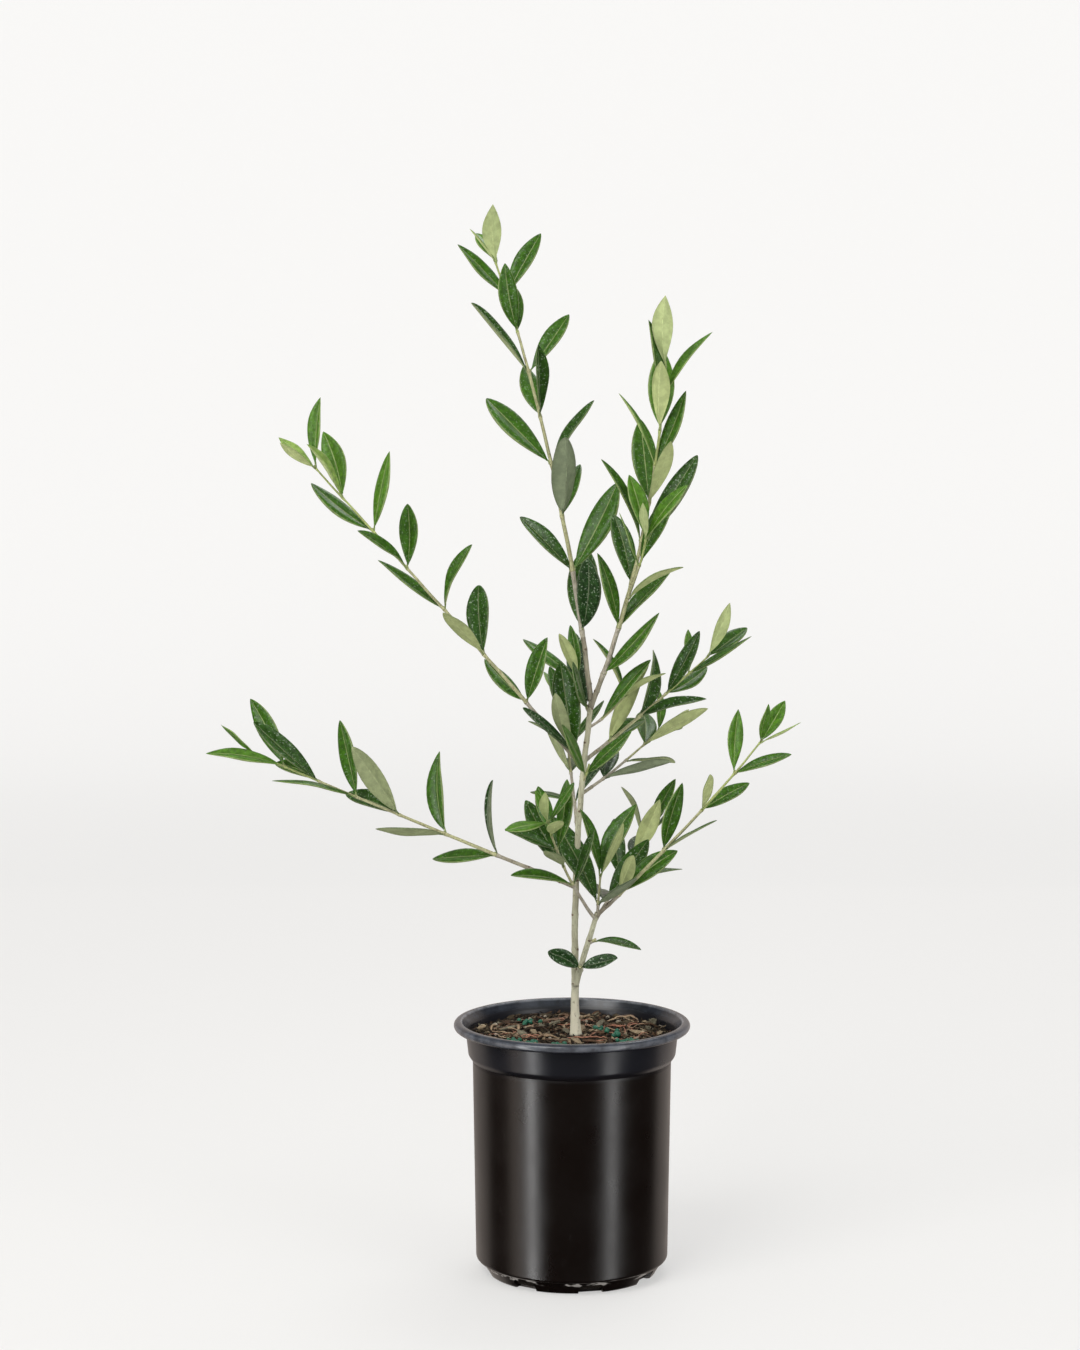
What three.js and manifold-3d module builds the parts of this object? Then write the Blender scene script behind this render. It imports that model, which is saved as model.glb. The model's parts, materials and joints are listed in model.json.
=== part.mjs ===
// A young olive tree in a one gallon nursery pot.
//
// Millimetres, +Z up, +X to the right and -Y towards the viewer. The origin is the centre of the
// pot's flat underside. Each limb is a tapered tube along an arc that starts on its parent, and
// each foliage mass is the leafy end of one limb, grown by a seeded rule.

import * as THREE from 'three';
import { mergeVertices } from 'three/addons/utils/BufferGeometryUtils.js';
import Module from 'manifold-3d';

const wasm = await Module();
wasm.setup();

// ---------------------------------------------------------------- driving sizes

const CLEARANCE = 0.3;

const POT = {
  height: 177,
  rimRadius: 82.5,
  rimHeight: 6,
  rimInnerRadius: 76.6,
  bandTopRadius: 74.2,
  bandBottomRadius: 72.4,
  bandBottomHeight: 154,
  bandFootRadius: 70,
  creaseHeight: 149.5,
  creaseDepth: 1.1,
  bodyTopRadius: 69.3,
  bodyRadius: 67.2,
  ledgeHeight: 12,
  ledgeRounding: 3,
  footTopRadius: 64,
  footRadius: 59.6,
  wall: 1.6,
  floor: 2,
  edge: 1,
  sides: 44,
};

const DRAINS = { count: 8, width: 17, height: 7, depth: 12, turn: 12 };

const SOIL_LEVEL = 168;

const TRUNK_FLARE = { wide: 1.2, wideReach: 6, long: 1.1, longReach: 32 };

const BOUGH_SIDES = 7;
const TWIG_SIDES = 4;
const LIMB_STEPS = 16;

// Widths are shares of the blade's widest, and fullness fills out its sides. Lift raises a leaf,
// where its limb has no lift of its own, and shorter is what the last pair lacks in length.
const LEAF = {
  thickness: 0.9,
  petiole: 0.06,
  petioleWidth: 0.08,
  tipWidth: 0.06,
  fullness: 0.85,
  lift: 0.25,
  shorter: 0.2,
  crowding: 0.3,
  slimmest: 0.23,
  tries: 4,
  stations: [0, 0.12, 0.28, 0.46, 0.64, 0.82, 1],
  solidStations: [0, 0.2, 0.45, 0.72, 1],
};

// The least of each leaf's chances and how much the draw adds to it: degrees about the stem,
// degrees of splay, share of length, share turned to the light, degrees of curl, share of width.
const CHANCES = {
  around: [-25, 50],
  splay: [-13, 26],
  length: [0.8, 0.34],
  light: [0.1, 0.8],
  curl: [-6, 32],
  slimness: [0, 0.09],
};
const TIP_CHANCES = { splay: [14, 12], length: [0.45, 0.3] };

// A leaf touches another within edge of its outline and face of its surface, or a limb within
// limb of it. Only leaves whose middles are within near of their lengths, and slack, are tested.
const TOUCH = { edge: 0.6, face: 0.8, limb: 1, near: 0.55, slack: 5 };

// The side that the leaves turn their upper faces to.
const LIGHT = new THREE.Vector3(0, -0.75, 0.66).normalize();

// ---------------------------------------------------------------- limbs and shoots
//
// startsAt: distance along the parent where the limb starts. heading and rise: the way it sets out.
// turn and bend: how far each changes by the tip. bare: where its bough ends and its foliage
// starts; the trunk and the second stem carry no foliage of their own. pairs: leaf pairs, the
// first of them at firstPair. roll, splayLow and splayHigh: how the pairs stand on the stem.

const LIMBS = {
  trunk: {
    start: [2.4, -8, 168.3], heading: 124, rise: 89, bend: -6, turn: -138,
    length: 233, radius: 2.3, tipRadius: 1.9, pairs: 0, flared: true,
  },
  left_leader: {
    parent: 'trunk', startsAt: 233, heading: 137, rise: 81, bend: -10, turn: 26,
    length: 313, radius: 1.8, tipRadius: 0.65, bare: 44,
    firstPair: 49, pairs: 9, leaf: 63, lift: 0.86, roll: 155, splayLow: 60, splayHigh: 60, seed: 531,
  },
  right_leader: {
    parent: 'trunk', startsAt: 229, heading: 338, rise: 67, bend: 14, turn: -43,
    length: 241, radius: 1.8, tipRadius: 0.65, bare: 21,
    firstPair: 25, pairs: 9, leaf: 64, lift: 1.0, roll: 111, splayLow: 59, splayHigh: 20, seed: 439,
  },
  low_left: {
    parent: 'trunk', startsAt: 103, heading: 167, rise: 20, bend: 1, turn: 0,
    length: 249, radius: 1.5, tipRadius: 0.6, bare: 55,
    firstPair: 60, pairs: 7, leaf: 63, lift: 0.53, roll: 135, splayLow: 49, splayHigh: 29, seed: 285,
  },
  upper_left: {
    parent: 'trunk', startsAt: 186, heading: 195, rise: 49, bend: -2, turn: 0,
    length: 279, radius: 1.5, tipRadius: 0.6, bare: 50,
    firstPair: 62, pairs: 7, leaf: 56, lift: 1.05, roll: 133, splayLow: 72, splayHigh: 56, seed: 833,
  },
  second_stem: {
    parent: 'trunk', startsAt: 35, heading: 316, rise: 69, bend: -1, turn: 1,
    length: 57, radius: 2.2, tipRadius: 1.7, pairs: 0,
  },
  low_right: {
    parent: 'second_stem', startsAt: 55, heading: 338, rise: 43, bend: 7, turn: -4,
    length: 172, radius: 1.4, tipRadius: 0.6, bare: 16,
    firstPair: 22, pairs: 5, leaf: 49, lift: 0.41, roll: 9, splayLow: 32, splayHigh: 40, seed: 534,
  },
  front_left: {
    parent: 'second_stem', startsAt: 52, heading: 222, rise: 47, bend: 12, turn: 23,
    length: 91, radius: 1.3, tipRadius: 0.6, bare: 0,
    firstPair: 35, pairs: 5, leaf: 49, lift: 0.17, roll: 129, splayLow: 35, splayHigh: 50, seed: 175,
  },
  short_right: {
    parent: 'trunk', startsAt: 191, heading: 34, rise: 30, bend: 5, turn: 0,
    length: 127, radius: 1.4, tipRadius: 0.6, bare: 17,
    firstPair: 23, pairs: 5, leaf: 55, lift: 0.63, roll: 60, splayLow: 39, splayHigh: 26, seed: 372,
  },
  back_low: {
    parent: 'second_stem', startsAt: 50, heading: 64, rise: 28, bend: 4, turn: 0,
    length: 110, radius: 1.2, tipRadius: 0.6, bare: 18,
    firstPair: 23, pairs: 5, leaf: 50, roll: 46, splayLow: 43, splayHigh: 21, seed: 275,
  },
  back_mid: {
    parent: 'trunk', startsAt: 168, heading: 50, rise: 18, bend: 10, turn: 0,
    length: 95, radius: 1.2, tipRadius: 0.6, bare: 12,
    firstPair: 26, pairs: 4, leaf: 52, roll: 1, splayLow: 40, splayHigh: 34, seed: 599,
  },
  back_left: {
    parent: 'trunk', startsAt: 140, heading: 96, rise: 38, bend: 12, turn: 0,
    length: 120, radius: 1.3, tipRadius: 0.6, bare: 20,
    firstPair: 30, pairs: 5, leaf: 50, roll: 40, splayLow: 45, splayHigh: 25, seed: 11,
  },
  fork_left: {
    parent: 'trunk', startsAt: 224, heading: 190, rise: 66, bend: 10, turn: 0,
    length: 26, radius: 1.0, tipRadius: 0.6, bare: 0,
    firstPair: 4, pairs: 2, leaf: 58, lift: 0.38, roll: 27, splayLow: 58, splayHigh: 60, seed: 550,
  },
  fork_right: {
    parent: 'trunk', startsAt: 214, heading: 10, rise: 30, bend: 20, turn: 0,
    length: 34, radius: 1.0, tipRadius: 0.6, bare: 0,
    firstPair: 11, pairs: 2, leaf: 57, lift: 0.79, roll: 23, splayLow: 30, splayHigh: 71, seed: 485,
  },
  mid_left: {
    parent: 'trunk', startsAt: 188, heading: 215, rise: 40, bend: 20, turn: 0,
    length: 18, radius: 1.0, tipRadius: 0.6, bare: 0,
    firstPair: 12, pairs: 2, leaf: 58, lift: 0.78, roll: 103, splayLow: 32, splayHigh: 24, seed: 729,
  },
  mid_right: {
    parent: 'trunk', startsAt: 176, heading: 305, rise: 50, bend: 20, turn: 0,
    length: 16, radius: 1.0, tipRadius: 0.6, bare: 0,
    firstPair: 7, pairs: 1, leaf: 52, roll: 6, splayLow: 32, splayHigh: 54, seed: 69,
  },
  front_right: {
    parent: 'right_leader', startsAt: 76, heading: 297, rise: 51, bend: 14, turn: 0,
    length: 54, radius: 1.0, tipRadius: 0.6, bare: 0,
    firstPair: 6, pairs: 3, leaf: 57, lift: 0.79, roll: 66, splayLow: 56, splayHigh: 31, seed: 766,
  },
  stem_tip: {
    parent: 'second_stem', startsAt: 57, heading: 300, rise: 78, bend: 8, turn: 0,
    length: 26, radius: 1.0, tipRadius: 0.6, bare: 0,
    firstPair: 6, pairs: 2, leaf: 66, lift: 0.36, roll: 68, splayLow: 52, splayHigh: 31, seed: 186,
  },
  foot_pair: {
    parent: 'second_stem', startsAt: 13, heading: 270, rise: 20, bend: 0, turn: 0,
    length: 7, radius: 1.0, tipRadius: 0.8, bare: 0,
    firstPair: 5, pairs: 1, leaf: 28, slimness: 0.36, roll: 0, splayLow: 75, splayHigh: 75, seed: 17,
  },
  foot_right: {
    parent: 'second_stem', startsAt: 32, heading: 330, rise: 30, bend: 10, turn: 0,
    length: 8, radius: 1.0, tipRadius: 0.8, bare: 0,
    firstPair: 5, pairs: 1, leaf: 38, roll: 60, splayLow: 50, splayHigh: 50, seed: 18,
  },
};

// ---------------------------------------------------------------- materials

function finish(colour, roughness) {
  return new THREE.MeshStandardMaterial({ color: new THREE.Color(...colour), roughness, metalness: 0 });
}

const MATERIALS = {
  pot: finish([0.02, 0.019, 0.018], 0.42),
  mix: finish([0.08, 0.055, 0.038], 0.95),
  bark: finish([0.42, 0.39, 0.31], 0.8),
  leaf: finish([0.1, 0.19, 0.075], 0.5),
};

// ---------------------------------------------------------------- solids

// Shared corners are merged, and the slivers that a lathe leaves at its axis are dropped.
function solidFrom(geometry) {
  geometry.deleteAttribute('normal');
  geometry.deleteAttribute('uv');
  const merged = mergeVertices(geometry, 1e-4);
  const corners = merged.index.array;
  const kept = [];
  for (let i = 0; i < corners.length; i += 3) {
    const [a, b, c] = corners.slice(i, i + 3);
    if (a !== b && b !== c && c !== a) kept.push(a, b, c);
  }
  return new wasm.Manifold(new wasm.Mesh({
    numProp: 3,
    vertProperties: new Float32Array(merged.attributes.position.array),
    triVerts: new Uint32Array(kept),
  }));
}

function geometryFrom(solid) {
  const { vertProperties, triVerts } = solid.getMesh();
  const geometry = new THREE.BufferGeometry();
  geometry.setAttribute('position', new THREE.BufferAttribute(new Float32Array(vertProperties), 3));
  geometry.setIndex(new THREE.BufferAttribute(new Uint32Array(triVerts), 1));
  geometry.computeVertexNormals();
  return geometry;
}

function largestPiece(solid) {
  return solid.decompose().reduce((best, piece) => (piece.volume() > best.volume() ? piece : best));
}

function turned(profile) {
  const points = profile.map(([radius, height]) => new THREE.Vector2(radius, height));
  return solidFrom(new THREE.LatheGeometry(points, POT.sides).rotateX(Math.PI / 2));
}

function partAt(name, solid, origin, material) {
  const geometry = geometryFrom(solid).translate(-origin.x, -origin.y, -origin.z);
  const mesh = new THREE.Mesh(geometry, material);
  mesh.name = name;
  mesh.position.copy(origin);
  return mesh;
}

// ---------------------------------------------------------------- pot and growing mix

function arcPoints(centreRadius, centreHeight, radius, fromDegrees, toDegrees, steps) {
  return Array.from({ length: steps + 1 }, (_, i) => {
    const angle = THREE.MathUtils.degToRad(fromDegrees + ((toDegrees - fromDegrees) * i) / steps);
    return [centreRadius + radius * Math.cos(angle), centreHeight + radius * Math.sin(angle)];
  });
}

// The outer face from the foot to the top of the band under the rim, moved inwards by an inset.
function wallProfile(inset) {
  const ledge = POT.ledgeHeight - POT.ledgeRounding;
  const foot = [
    [POT.footRadius, POT.wall],
    [POT.footTopRadius, ledge],
    ...arcPoints(POT.bodyRadius - POT.ledgeRounding, POT.ledgeHeight, POT.ledgeRounding, -90, 0, 2),
  ];
  const wall = [
    [POT.bodyTopRadius, POT.creaseHeight - POT.edge],
    [POT.bandFootRadius - POT.creaseDepth, POT.creaseHeight],
    [POT.bandFootRadius, POT.creaseHeight + POT.edge],
    [POT.bandBottomRadius, POT.bandBottomHeight],
    [POT.bandTopRadius, POT.height - POT.rimHeight],
  ];
  return [
    ...foot.map(([radius, height]) => [radius - inset, height + inset]),
    ...wall.map(([radius, height]) => [radius - inset, height]),
  ];
}

function makePot() {
  const roll = POT.rimHeight / 2;
  let solid = turned([
    [0, 0],
    [POT.footRadius - POT.wall, 0],
    ...wallProfile(0),
    ...arcPoints(POT.rimRadius - roll, POT.height - roll, roll, -90, 90, 4),
    [POT.rimInnerRadius + POT.edge, POT.height],
    [POT.rimInnerRadius, POT.height - POT.edge],
    ...wallProfile(POT.wall).reverse(),
    [POT.footRadius - 2 * POT.wall, POT.floor],
    [0, POT.floor],
  ]);
  for (let i = 0; i < DRAINS.count; i += 1) {
    const notch = new THREE.BoxGeometry(DRAINS.depth, DRAINS.width, 2 * DRAINS.height);
    notch.translate(POT.footRadius, 0, 0);
    notch.rotateZ(THREE.MathUtils.degToRad(DRAINS.turn + (360 / DRAINS.count) * i));
    solid = solid.subtract(solidFrom(notch));
  }
  return solid;
}

function makeGrowingMix() {
  const inset = POT.wall + CLEARANCE;
  const sides = wallProfile(inset).filter(([, height]) => height < SOIL_LEVEL);
  const shoulder = POT.bandTopRadius - inset - CLEARANCE;
  return turned([
    [0, POT.floor + CLEARANCE],
    [POT.footRadius - 2 * POT.wall - CLEARANCE, POT.floor + CLEARANCE],
    ...sides,
    [shoulder, SOIL_LEVEL],
    [0, SOIL_LEVEL],
  ]);
}

// ---------------------------------------------------------------- limbs

const radians = THREE.MathUtils.degToRad;
const UP = new THREE.Vector3(0, 0, 1);
const AWAY = new THREE.Vector3(0, 1, 0);

function wayOf(rise, heading) {
  const level = Math.cos(radians(rise));
  return new THREE.Vector3(
    level * Math.cos(radians(heading)),
    level * Math.sin(radians(heading)),
    Math.sin(radians(rise)),
  );
}

class Limb {
  constructor(name, size) {
    this.name = name;
    Object.assign(this, size);
    this.root = size.parent ? limbs[size.parent].at(size.startsAt).point : new THREE.Vector3(...size.start);
    const wayAt = (share) => wayOf(this.rise + this.bend * share, this.heading + this.turn * share);
    this.points = [this.root];
    this.ways = [wayAt(0)];
    for (let i = 0; i < LIMB_STEPS; i += 1) {
      const stride = wayAt((i + 0.5) / LIMB_STEPS).multiplyScalar(this.length / LIMB_STEPS);
      this.points.push(this.points[i].clone().add(stride));
      this.ways.push(wayAt((i + 1) / LIMB_STEPS));
    }
  }

  at(distance) {
    const share = THREE.MathUtils.clamp(distance / this.length, 0, 1) * LIMB_STEPS;
    const i = Math.min(Math.floor(share), LIMB_STEPS - 1);
    return {
      point: this.points[i].clone().lerp(this.points[i + 1], share - i),
      way: this.ways[i].clone().lerp(this.ways[i + 1], share - i).normalize(),
    };
  }

  radiusAt(distance) {
    const taper = this.radius + ((this.tipRadius - this.radius) * distance) / this.length;
    if (!this.flared) return taper;
    const { wide, wideReach, long, longReach } = TRUNK_FLARE;
    return taper + wide * Math.exp(-distance / wideReach) + long * Math.exp(-distance / longReach);
  }

  // The limb from one distance to another, as a many-sided tube grown by a margin all round.
  tube(from, to, sides, margin = 0) {
    const steps = Math.max(2, Math.ceil((LIMB_STEPS * (to - from)) / this.length));
    const geometry = new THREE.CylinderGeometry(1, 1, 1, sides, steps);
    const upright = Math.abs(this.ways[0].z) > 0.8;
    const position = geometry.attributes.position;
    for (let i = 0; i < position.count; i += 1) {
      const distance = from + (to - from) * (position.getY(i) + 0.5);
      const { point, way } = this.at(distance);
      if (this.flared && distance < 1) way.copy(UP);
      const across = way.clone().cross(upright ? AWAY : UP).normalize();
      const over = across.clone().cross(way);
      const radius = this.radiusAt(distance) + margin;
      point.addScaledVector(across, position.getX(i) * radius);
      point.addScaledVector(over, position.getZ(i) * radius);
      if (distance > to - 1e-6) point.addScaledVector(way, margin);
      position.setXYZ(i, point.x, point.y, point.z);
    }
    return solidFrom(geometry);
  }
}

// ---------------------------------------------------------------- leaves
//
// The visual model grows the same leaves from the same numbers, so the order of the draws and the
// tests below are the same in both.

function randomFrom(seed) {
  let state = seed;
  return () => {
    state = (state + 0x6d2b79f5) | 0;
    let t = Math.imul(state ^ (state >>> 15), state | 1);
    t ^= t + Math.imul(t ^ (t >>> 7), t | 61);
    return ((t ^ (t >>> 14)) >>> 0) / 4294967296;
  };
}

// Half the blade's width at a share of its length, as a share of its widest.
function blade(share) {
  if (share <= LEAF.petiole) return LEAF.petioleWidth;
  const past = (share - LEAF.petiole) / (1 - LEAF.petiole);
  return Math.max(LEAF.tipWidth, Math.sin(Math.PI * past) ** LEAF.fullness);
}

// A blade that leaves the stem's centre, with its upper face along face, and bends down by curl.
class Leaf {
  constructor(root, way, face, length, width, curl) {
    this.root = root;
    this.way = way;
    this.face = face;
    this.across = face.clone().cross(way);
    this.length = length;
    this.width = width;
    this.curl = curl;
    this.middle = root.clone().addScaledVector(way, length / 2);
    this.rails = [1, 0, -1].map((side) => LEAF.stations.map((share) => this.at(share, side)));
  }

  at(share, side) {
    return this.root.clone()
      .addScaledVector(this.way, this.length * share)
      .addScaledVector(this.face, (-this.length * this.curl * share * share) / 2)
      .addScaledVector(this.across, (side * this.width * blade(share)) / 2);
  }

  // Where a point lies along, across and above the blade.
  locate(point) {
    const from = point.clone().sub(this.root);
    const share = from.dot(this.way) / this.length;
    const bent = THREE.MathUtils.clamp(share, 0, 1);
    const above = from.dot(this.face) + (this.length * this.curl * bent * bent) / 2;
    return { share, side: from.dot(this.across), above };
  }

  covers({ share, side }) {
    if (share <= 0.04 || share >= 1.02) return false;
    return Math.abs(side) < (this.width * blade(Math.min(share, 1))) / 2 + TOUCH.edge;
  }

  isCrossedBy(other) {
    return other.rails.some((rail) => {
      const places = rail.map((point) => this.locate(point));
      return places.some((place, i) => {
        if (i === 0) return false;
        if (Math.abs(place.above) < TOUCH.face && this.covers(place)) return true;
        const last = places[i - 1];
        if (last.above * place.above >= 0) return false;
        const t = last.above / (last.above - place.above);
        return this.covers({
          share: last.share + (place.share - last.share) * t,
          side: last.side + (place.side - last.side) * t,
        });
      });
    });
  }

  solid() {
    const steps = LEAF.solidStations.length - 1;
    const geometry = new THREE.CylinderGeometry(1, 1, 1, 4, steps);
    const position = geometry.attributes.position;
    for (let i = 0; i < position.count; i += 1) {
      const share = LEAF.solidStations[Math.round((position.getY(i) + 0.5) * steps)];
      const point = this.at(share, position.getX(i));
      point.addScaledVector(this.face, (-position.getZ(i) * LEAF.thickness) / 2);
      position.setXYZ(i, point.x, point.y, point.z);
    }
    return solidFrom(geometry);
  }
}

function touchesLimb(leaf, limb, firstStation) {
  const line = new THREE.Line3();
  const nearest = new THREE.Vector3();
  const reach = Math.max(limb.radius, limb.tipRadius) + TOUCH.limb;
  return leaf.rails.some((rail) => rail.slice(firstStation).some((point) => (
    limb.points.slice(1).some((end, i) => {
      line.set(limb.points[i], end).closestPointToPoint(point, true, nearest);
      return nearest.distanceTo(point) < reach;
    })
  )));
}

function touchesLeaf(leaf, other) {
  const reach = Math.hypot(TOUCH.near * (leaf.length + other.length), TOUCH.slack);
  if (leaf.middle.distanceTo(other.middle) >= reach) return false;
  return leaf.isCrossedBy(other) || other.isCrossedBy(leaf);
}

// A leaf's own limb may touch the first fifth of it, and another limb only its root.
function isClear(leaf, limb, grown) {
  if (grown.some((other) => touchesLeaf(leaf, other))) return false;
  return !Object.values(limbs).some((other) => touchesLimb(leaf, other, other === limb ? 3 : 1));
}

// The two directions square to a limb, level and upwards, that leaves are turned about it by.
function spokesAt(limb, distance) {
  const { point, way } = limb.at(distance);
  const level = way.clone().cross(UP).normalize();
  return { point, way, level, over: level.clone().cross(way) };
}

function growLeaf(limb, pair, side, random) {
  const share = limb.pairs > 1 ? pair / (limb.pairs - 1) : 0;
  const along = share * (1 + LEAF.crowding - LEAF.crowding * share);
  const spokes = spokesAt(limb, limb.firstPair + (limb.length - limb.firstPair) * along);
  const drawn = ([least, more]) => least + more * random();
  const around = radians(limb.roll + 90 * pair + 180 * side + drawn(CHANCES.around));
  const splayHere = limb.splayLow + (limb.splayHigh - limb.splayLow) * share;
  const splay = radians(splayHere + drawn(CHANCES.splay));
  const length = limb.leaf * (1 - LEAF.shorter * share ** 3) * drawn(CHANCES.length);
  const toLight = drawn(CHANCES.light);
  const curl = radians(drawn(CHANCES.curl));
  const slimness = (limb.slimness ?? LEAF.slimmest) + drawn(CHANCES.slimness);
  random(); // The visual model gives the leaf its tone by this draw.
  const outward = spokes.level.clone().multiplyScalar(Math.cos(around))
    .addScaledVector(spokes.over, Math.sin(around));
  const way = spokes.way.clone().multiplyScalar(Math.cos(splay))
    .addScaledVector(outward, Math.sin(splay))
    .addScaledVector(UP, (limb.lift ?? LEAF.lift) * Math.sin(splay))
    .normalize();
  const inner = way.clone().cross(spokes.way.clone().cross(outward));
  inner.addScaledVector(way, -inner.dot(way)).normalize();
  const lit = LIGHT.clone().addScaledVector(way, -LIGHT.dot(way)).normalize();
  const face = inner.multiplyScalar(1 - toLight).addScaledVector(lit, toLight).normalize();
  return new Leaf(spokes.point, way, face, length, length * slimness, curl);
}

function growTipLeaf(limb, side, random) {
  const spokes = spokesAt(limb, limb.length);
  const around = radians(limb.roll + 90 * limb.pairs + 180 * side);
  const outward = spokes.level.clone().multiplyScalar(Math.cos(around))
    .addScaledVector(spokes.over, Math.sin(around));
  const drawn = ([least, more]) => least + more * random();
  const splay = radians(drawn(TIP_CHANCES.splay));
  const way = spokes.way.clone().multiplyScalar(Math.cos(splay))
    .addScaledVector(outward, Math.sin(splay))
    .normalize();
  const face = way.clone().cross(spokes.way.clone().cross(outward)).normalize();
  const length = limb.leaf * drawn(TIP_CHANCES.length);
  return new Leaf(spokes.point, way, face, length, length * LEAF.slimmest, 0);
}

// Pairs that cross from one to the next, and a last, smaller pair at the tip. A leaf that would
// touch a limb or another leaf is drawn again, and left out after a few tries.
function growLeaves(limb, earlier) {
  const random = randomFrom(limb.seed);
  const leaves = [];
  const grown = () => [...earlier, ...leaves];
  for (let pair = 0; pair < limb.pairs; pair += 1) {
    for (const side of [0, 1]) {
      for (let attempt = 0; attempt < LEAF.tries; attempt += 1) {
        const leaf = growLeaf(limb, pair, side, random);
        if (isClear(leaf, limb, grown())) {
          leaves.push(leaf);
          break;
        }
      }
    }
  }
  const tipSides = limb.pairs > 1 ? [0, 1] : [];
  for (const side of tipSides) {
    const leaf = growTipLeaf(limb, side, random);
    if (isClear(leaf, limb, grown())) leaves.push(leaf);
  }
  return leaves;
}

// ---------------------------------------------------------------- the plant

const limbs = {};
for (const [name, size] of Object.entries(LIMBS)) limbs[name] = new Limb(name, size);

const olive = new THREE.Group();
const container = new THREE.Group();
const plant = new THREE.Group();
olive.add(container, plant);

const floorCentre = new THREE.Vector3();
container.add(partAt('pot', makePot(), floorCentre, MATERIALS.pot));
container.add(partAt('growing_mix', makeGrowingMix(), floorCentre, MATERIALS.mix));

// Each limb is cut clear of those made before it, and of its own bough where foliage starts.
let taken = null;
const allLeaves = [];
function cutClear(solid) {
  return taken ? largestPiece(solid.subtract(taken)) : solid;
}
function take(solid) {
  taken = taken ? taken.add(solid) : solid;
}

for (const [name, limb] of Object.entries(limbs)) {
  const boughEnd = limb.pairs ? limb.bare : limb.length;
  const boughName = limb.pairs ? `${name}_bough` : name;
  if (boughEnd > 0) {
    plant.add(partAt(boughName, cutClear(limb.tube(0, boughEnd, BOUGH_SIDES)), limb.root, MATERIALS.bark));
    take(limb.tube(0, boughEnd, BOUGH_SIDES, CLEARANCE));
  }
  if (limb.pairs) {
    const leaves = growLeaves(limb, allLeaves);
    allLeaves.push(...leaves);
    const mass = wasm.Manifold.union([
      limb.tube(boughEnd, limb.length, TWIG_SIDES),
      ...leaves.map((leaf) => leaf.solid()),
    ]);
    plant.add(partAt(`${name}_foliage`, cutClear(mass), limb.at(boughEnd).point, MATERIALS.leaf));
    take(limb.tube(boughEnd, limb.length, TWIG_SIDES, CLEARANCE));
  }
}

export default olive;
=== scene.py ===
"""The young olive tree in its nursery pot, dressed: pot, growing mix, bark, twigs and leaves.

Sizes are millimetres, as in the part's source, until a mesh is written. Finishes and the stage
are in metres. +Z is up, +X is to the right and -Y faces the viewer. The limbs and the leaf rule
repeat those of the part's source.
"""

import json
import math

import bpy
import numpy as np
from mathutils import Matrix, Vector, noise

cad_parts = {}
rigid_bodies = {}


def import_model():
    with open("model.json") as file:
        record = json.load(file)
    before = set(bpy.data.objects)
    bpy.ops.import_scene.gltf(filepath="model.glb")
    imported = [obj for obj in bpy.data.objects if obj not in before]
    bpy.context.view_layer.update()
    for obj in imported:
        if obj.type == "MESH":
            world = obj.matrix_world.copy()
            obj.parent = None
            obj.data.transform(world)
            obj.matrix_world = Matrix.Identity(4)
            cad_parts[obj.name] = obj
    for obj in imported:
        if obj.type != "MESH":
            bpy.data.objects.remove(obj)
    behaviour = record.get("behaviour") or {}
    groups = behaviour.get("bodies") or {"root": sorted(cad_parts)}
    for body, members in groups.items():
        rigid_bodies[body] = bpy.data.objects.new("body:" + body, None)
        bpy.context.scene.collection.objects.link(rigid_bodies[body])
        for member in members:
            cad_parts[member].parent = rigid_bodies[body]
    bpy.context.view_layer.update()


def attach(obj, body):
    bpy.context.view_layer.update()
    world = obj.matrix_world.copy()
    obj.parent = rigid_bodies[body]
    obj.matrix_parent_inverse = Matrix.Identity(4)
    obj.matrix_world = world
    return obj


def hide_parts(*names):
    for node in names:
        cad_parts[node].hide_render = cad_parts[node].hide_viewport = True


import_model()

# ------------------------ driving sizes

MM = 0.001

POT = dict(
    height=177,
    rim_radius=82.5,
    rim_height=6,
    rim_inner_radius=76.6,
    band_top_radius=74.2,
    band_bottom_radius=72.4,
    band_bottom_height=154,
    band_foot_radius=70,
    crease_height=149.5,
    crease_depth=1.1,
    body_top_radius=69.3,
    body_radius=67.2,
    ledge_height=12,
    ledge_rounding=3,
    foot_top_radius=64,
    foot_radius=59.6,
    wall=1.6,
    floor=2,
    edge=1,
    sides=160,
)

DRAINS = dict(count=8, width=17, height=7, depth=12, turn=12, corner=2.5)

SOIL_LEVEL = 168

TRUNK_FLARE = dict(wide=1.2, wide_reach=6, long=1.1, long_reach=32)

LIMB_STEPS = 16

LEAF = dict(
    petiole=0.06,
    petiole_width=0.08,
    tip_width=0.06,
    fullness=0.85,
    shorter=0.2,
    crowding=0.3,
    tries=4,
)
STATIONS = np.array([0, 0.12, 0.28, 0.46, 0.64, 0.82, 1])

# The least of each measure that is left to chance, and the most that a draw adds to it.
CHANCES = dict(
    around=(-25, 50),
    splay=(-13, 26),
    length=(0.8, 0.34),
    light=(0.1, 0.8),
    curl=(-6, 32),
    slimness=(0, 0.09),
)
TIP_CHANCES = dict(splay=(14, 12), length=(0.45, 0.3))

TOUCH = dict(edge=0.6, face=0.8, limb=1, near=0.55, slack=5, first_share=0.04, last_share=1.02)


def unit(vector):
    return vector / np.sqrt((vector * vector).sum(axis=-1, keepdims=True))


UP = np.array([0.0, 0.0, 1.0])
AWAY = np.array([0.0, 1.0, 0.0])
LIGHT = unit(np.array([0.0, -0.75, 0.66]))

# What a limb has unless its own entry says otherwise.
USUAL_LIMB = dict(
    turn=0, tip_radius=0.6, bare=0, youth=0, pairs=0, lift=0.25, slimness=0.23, flared=False,
)

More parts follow.
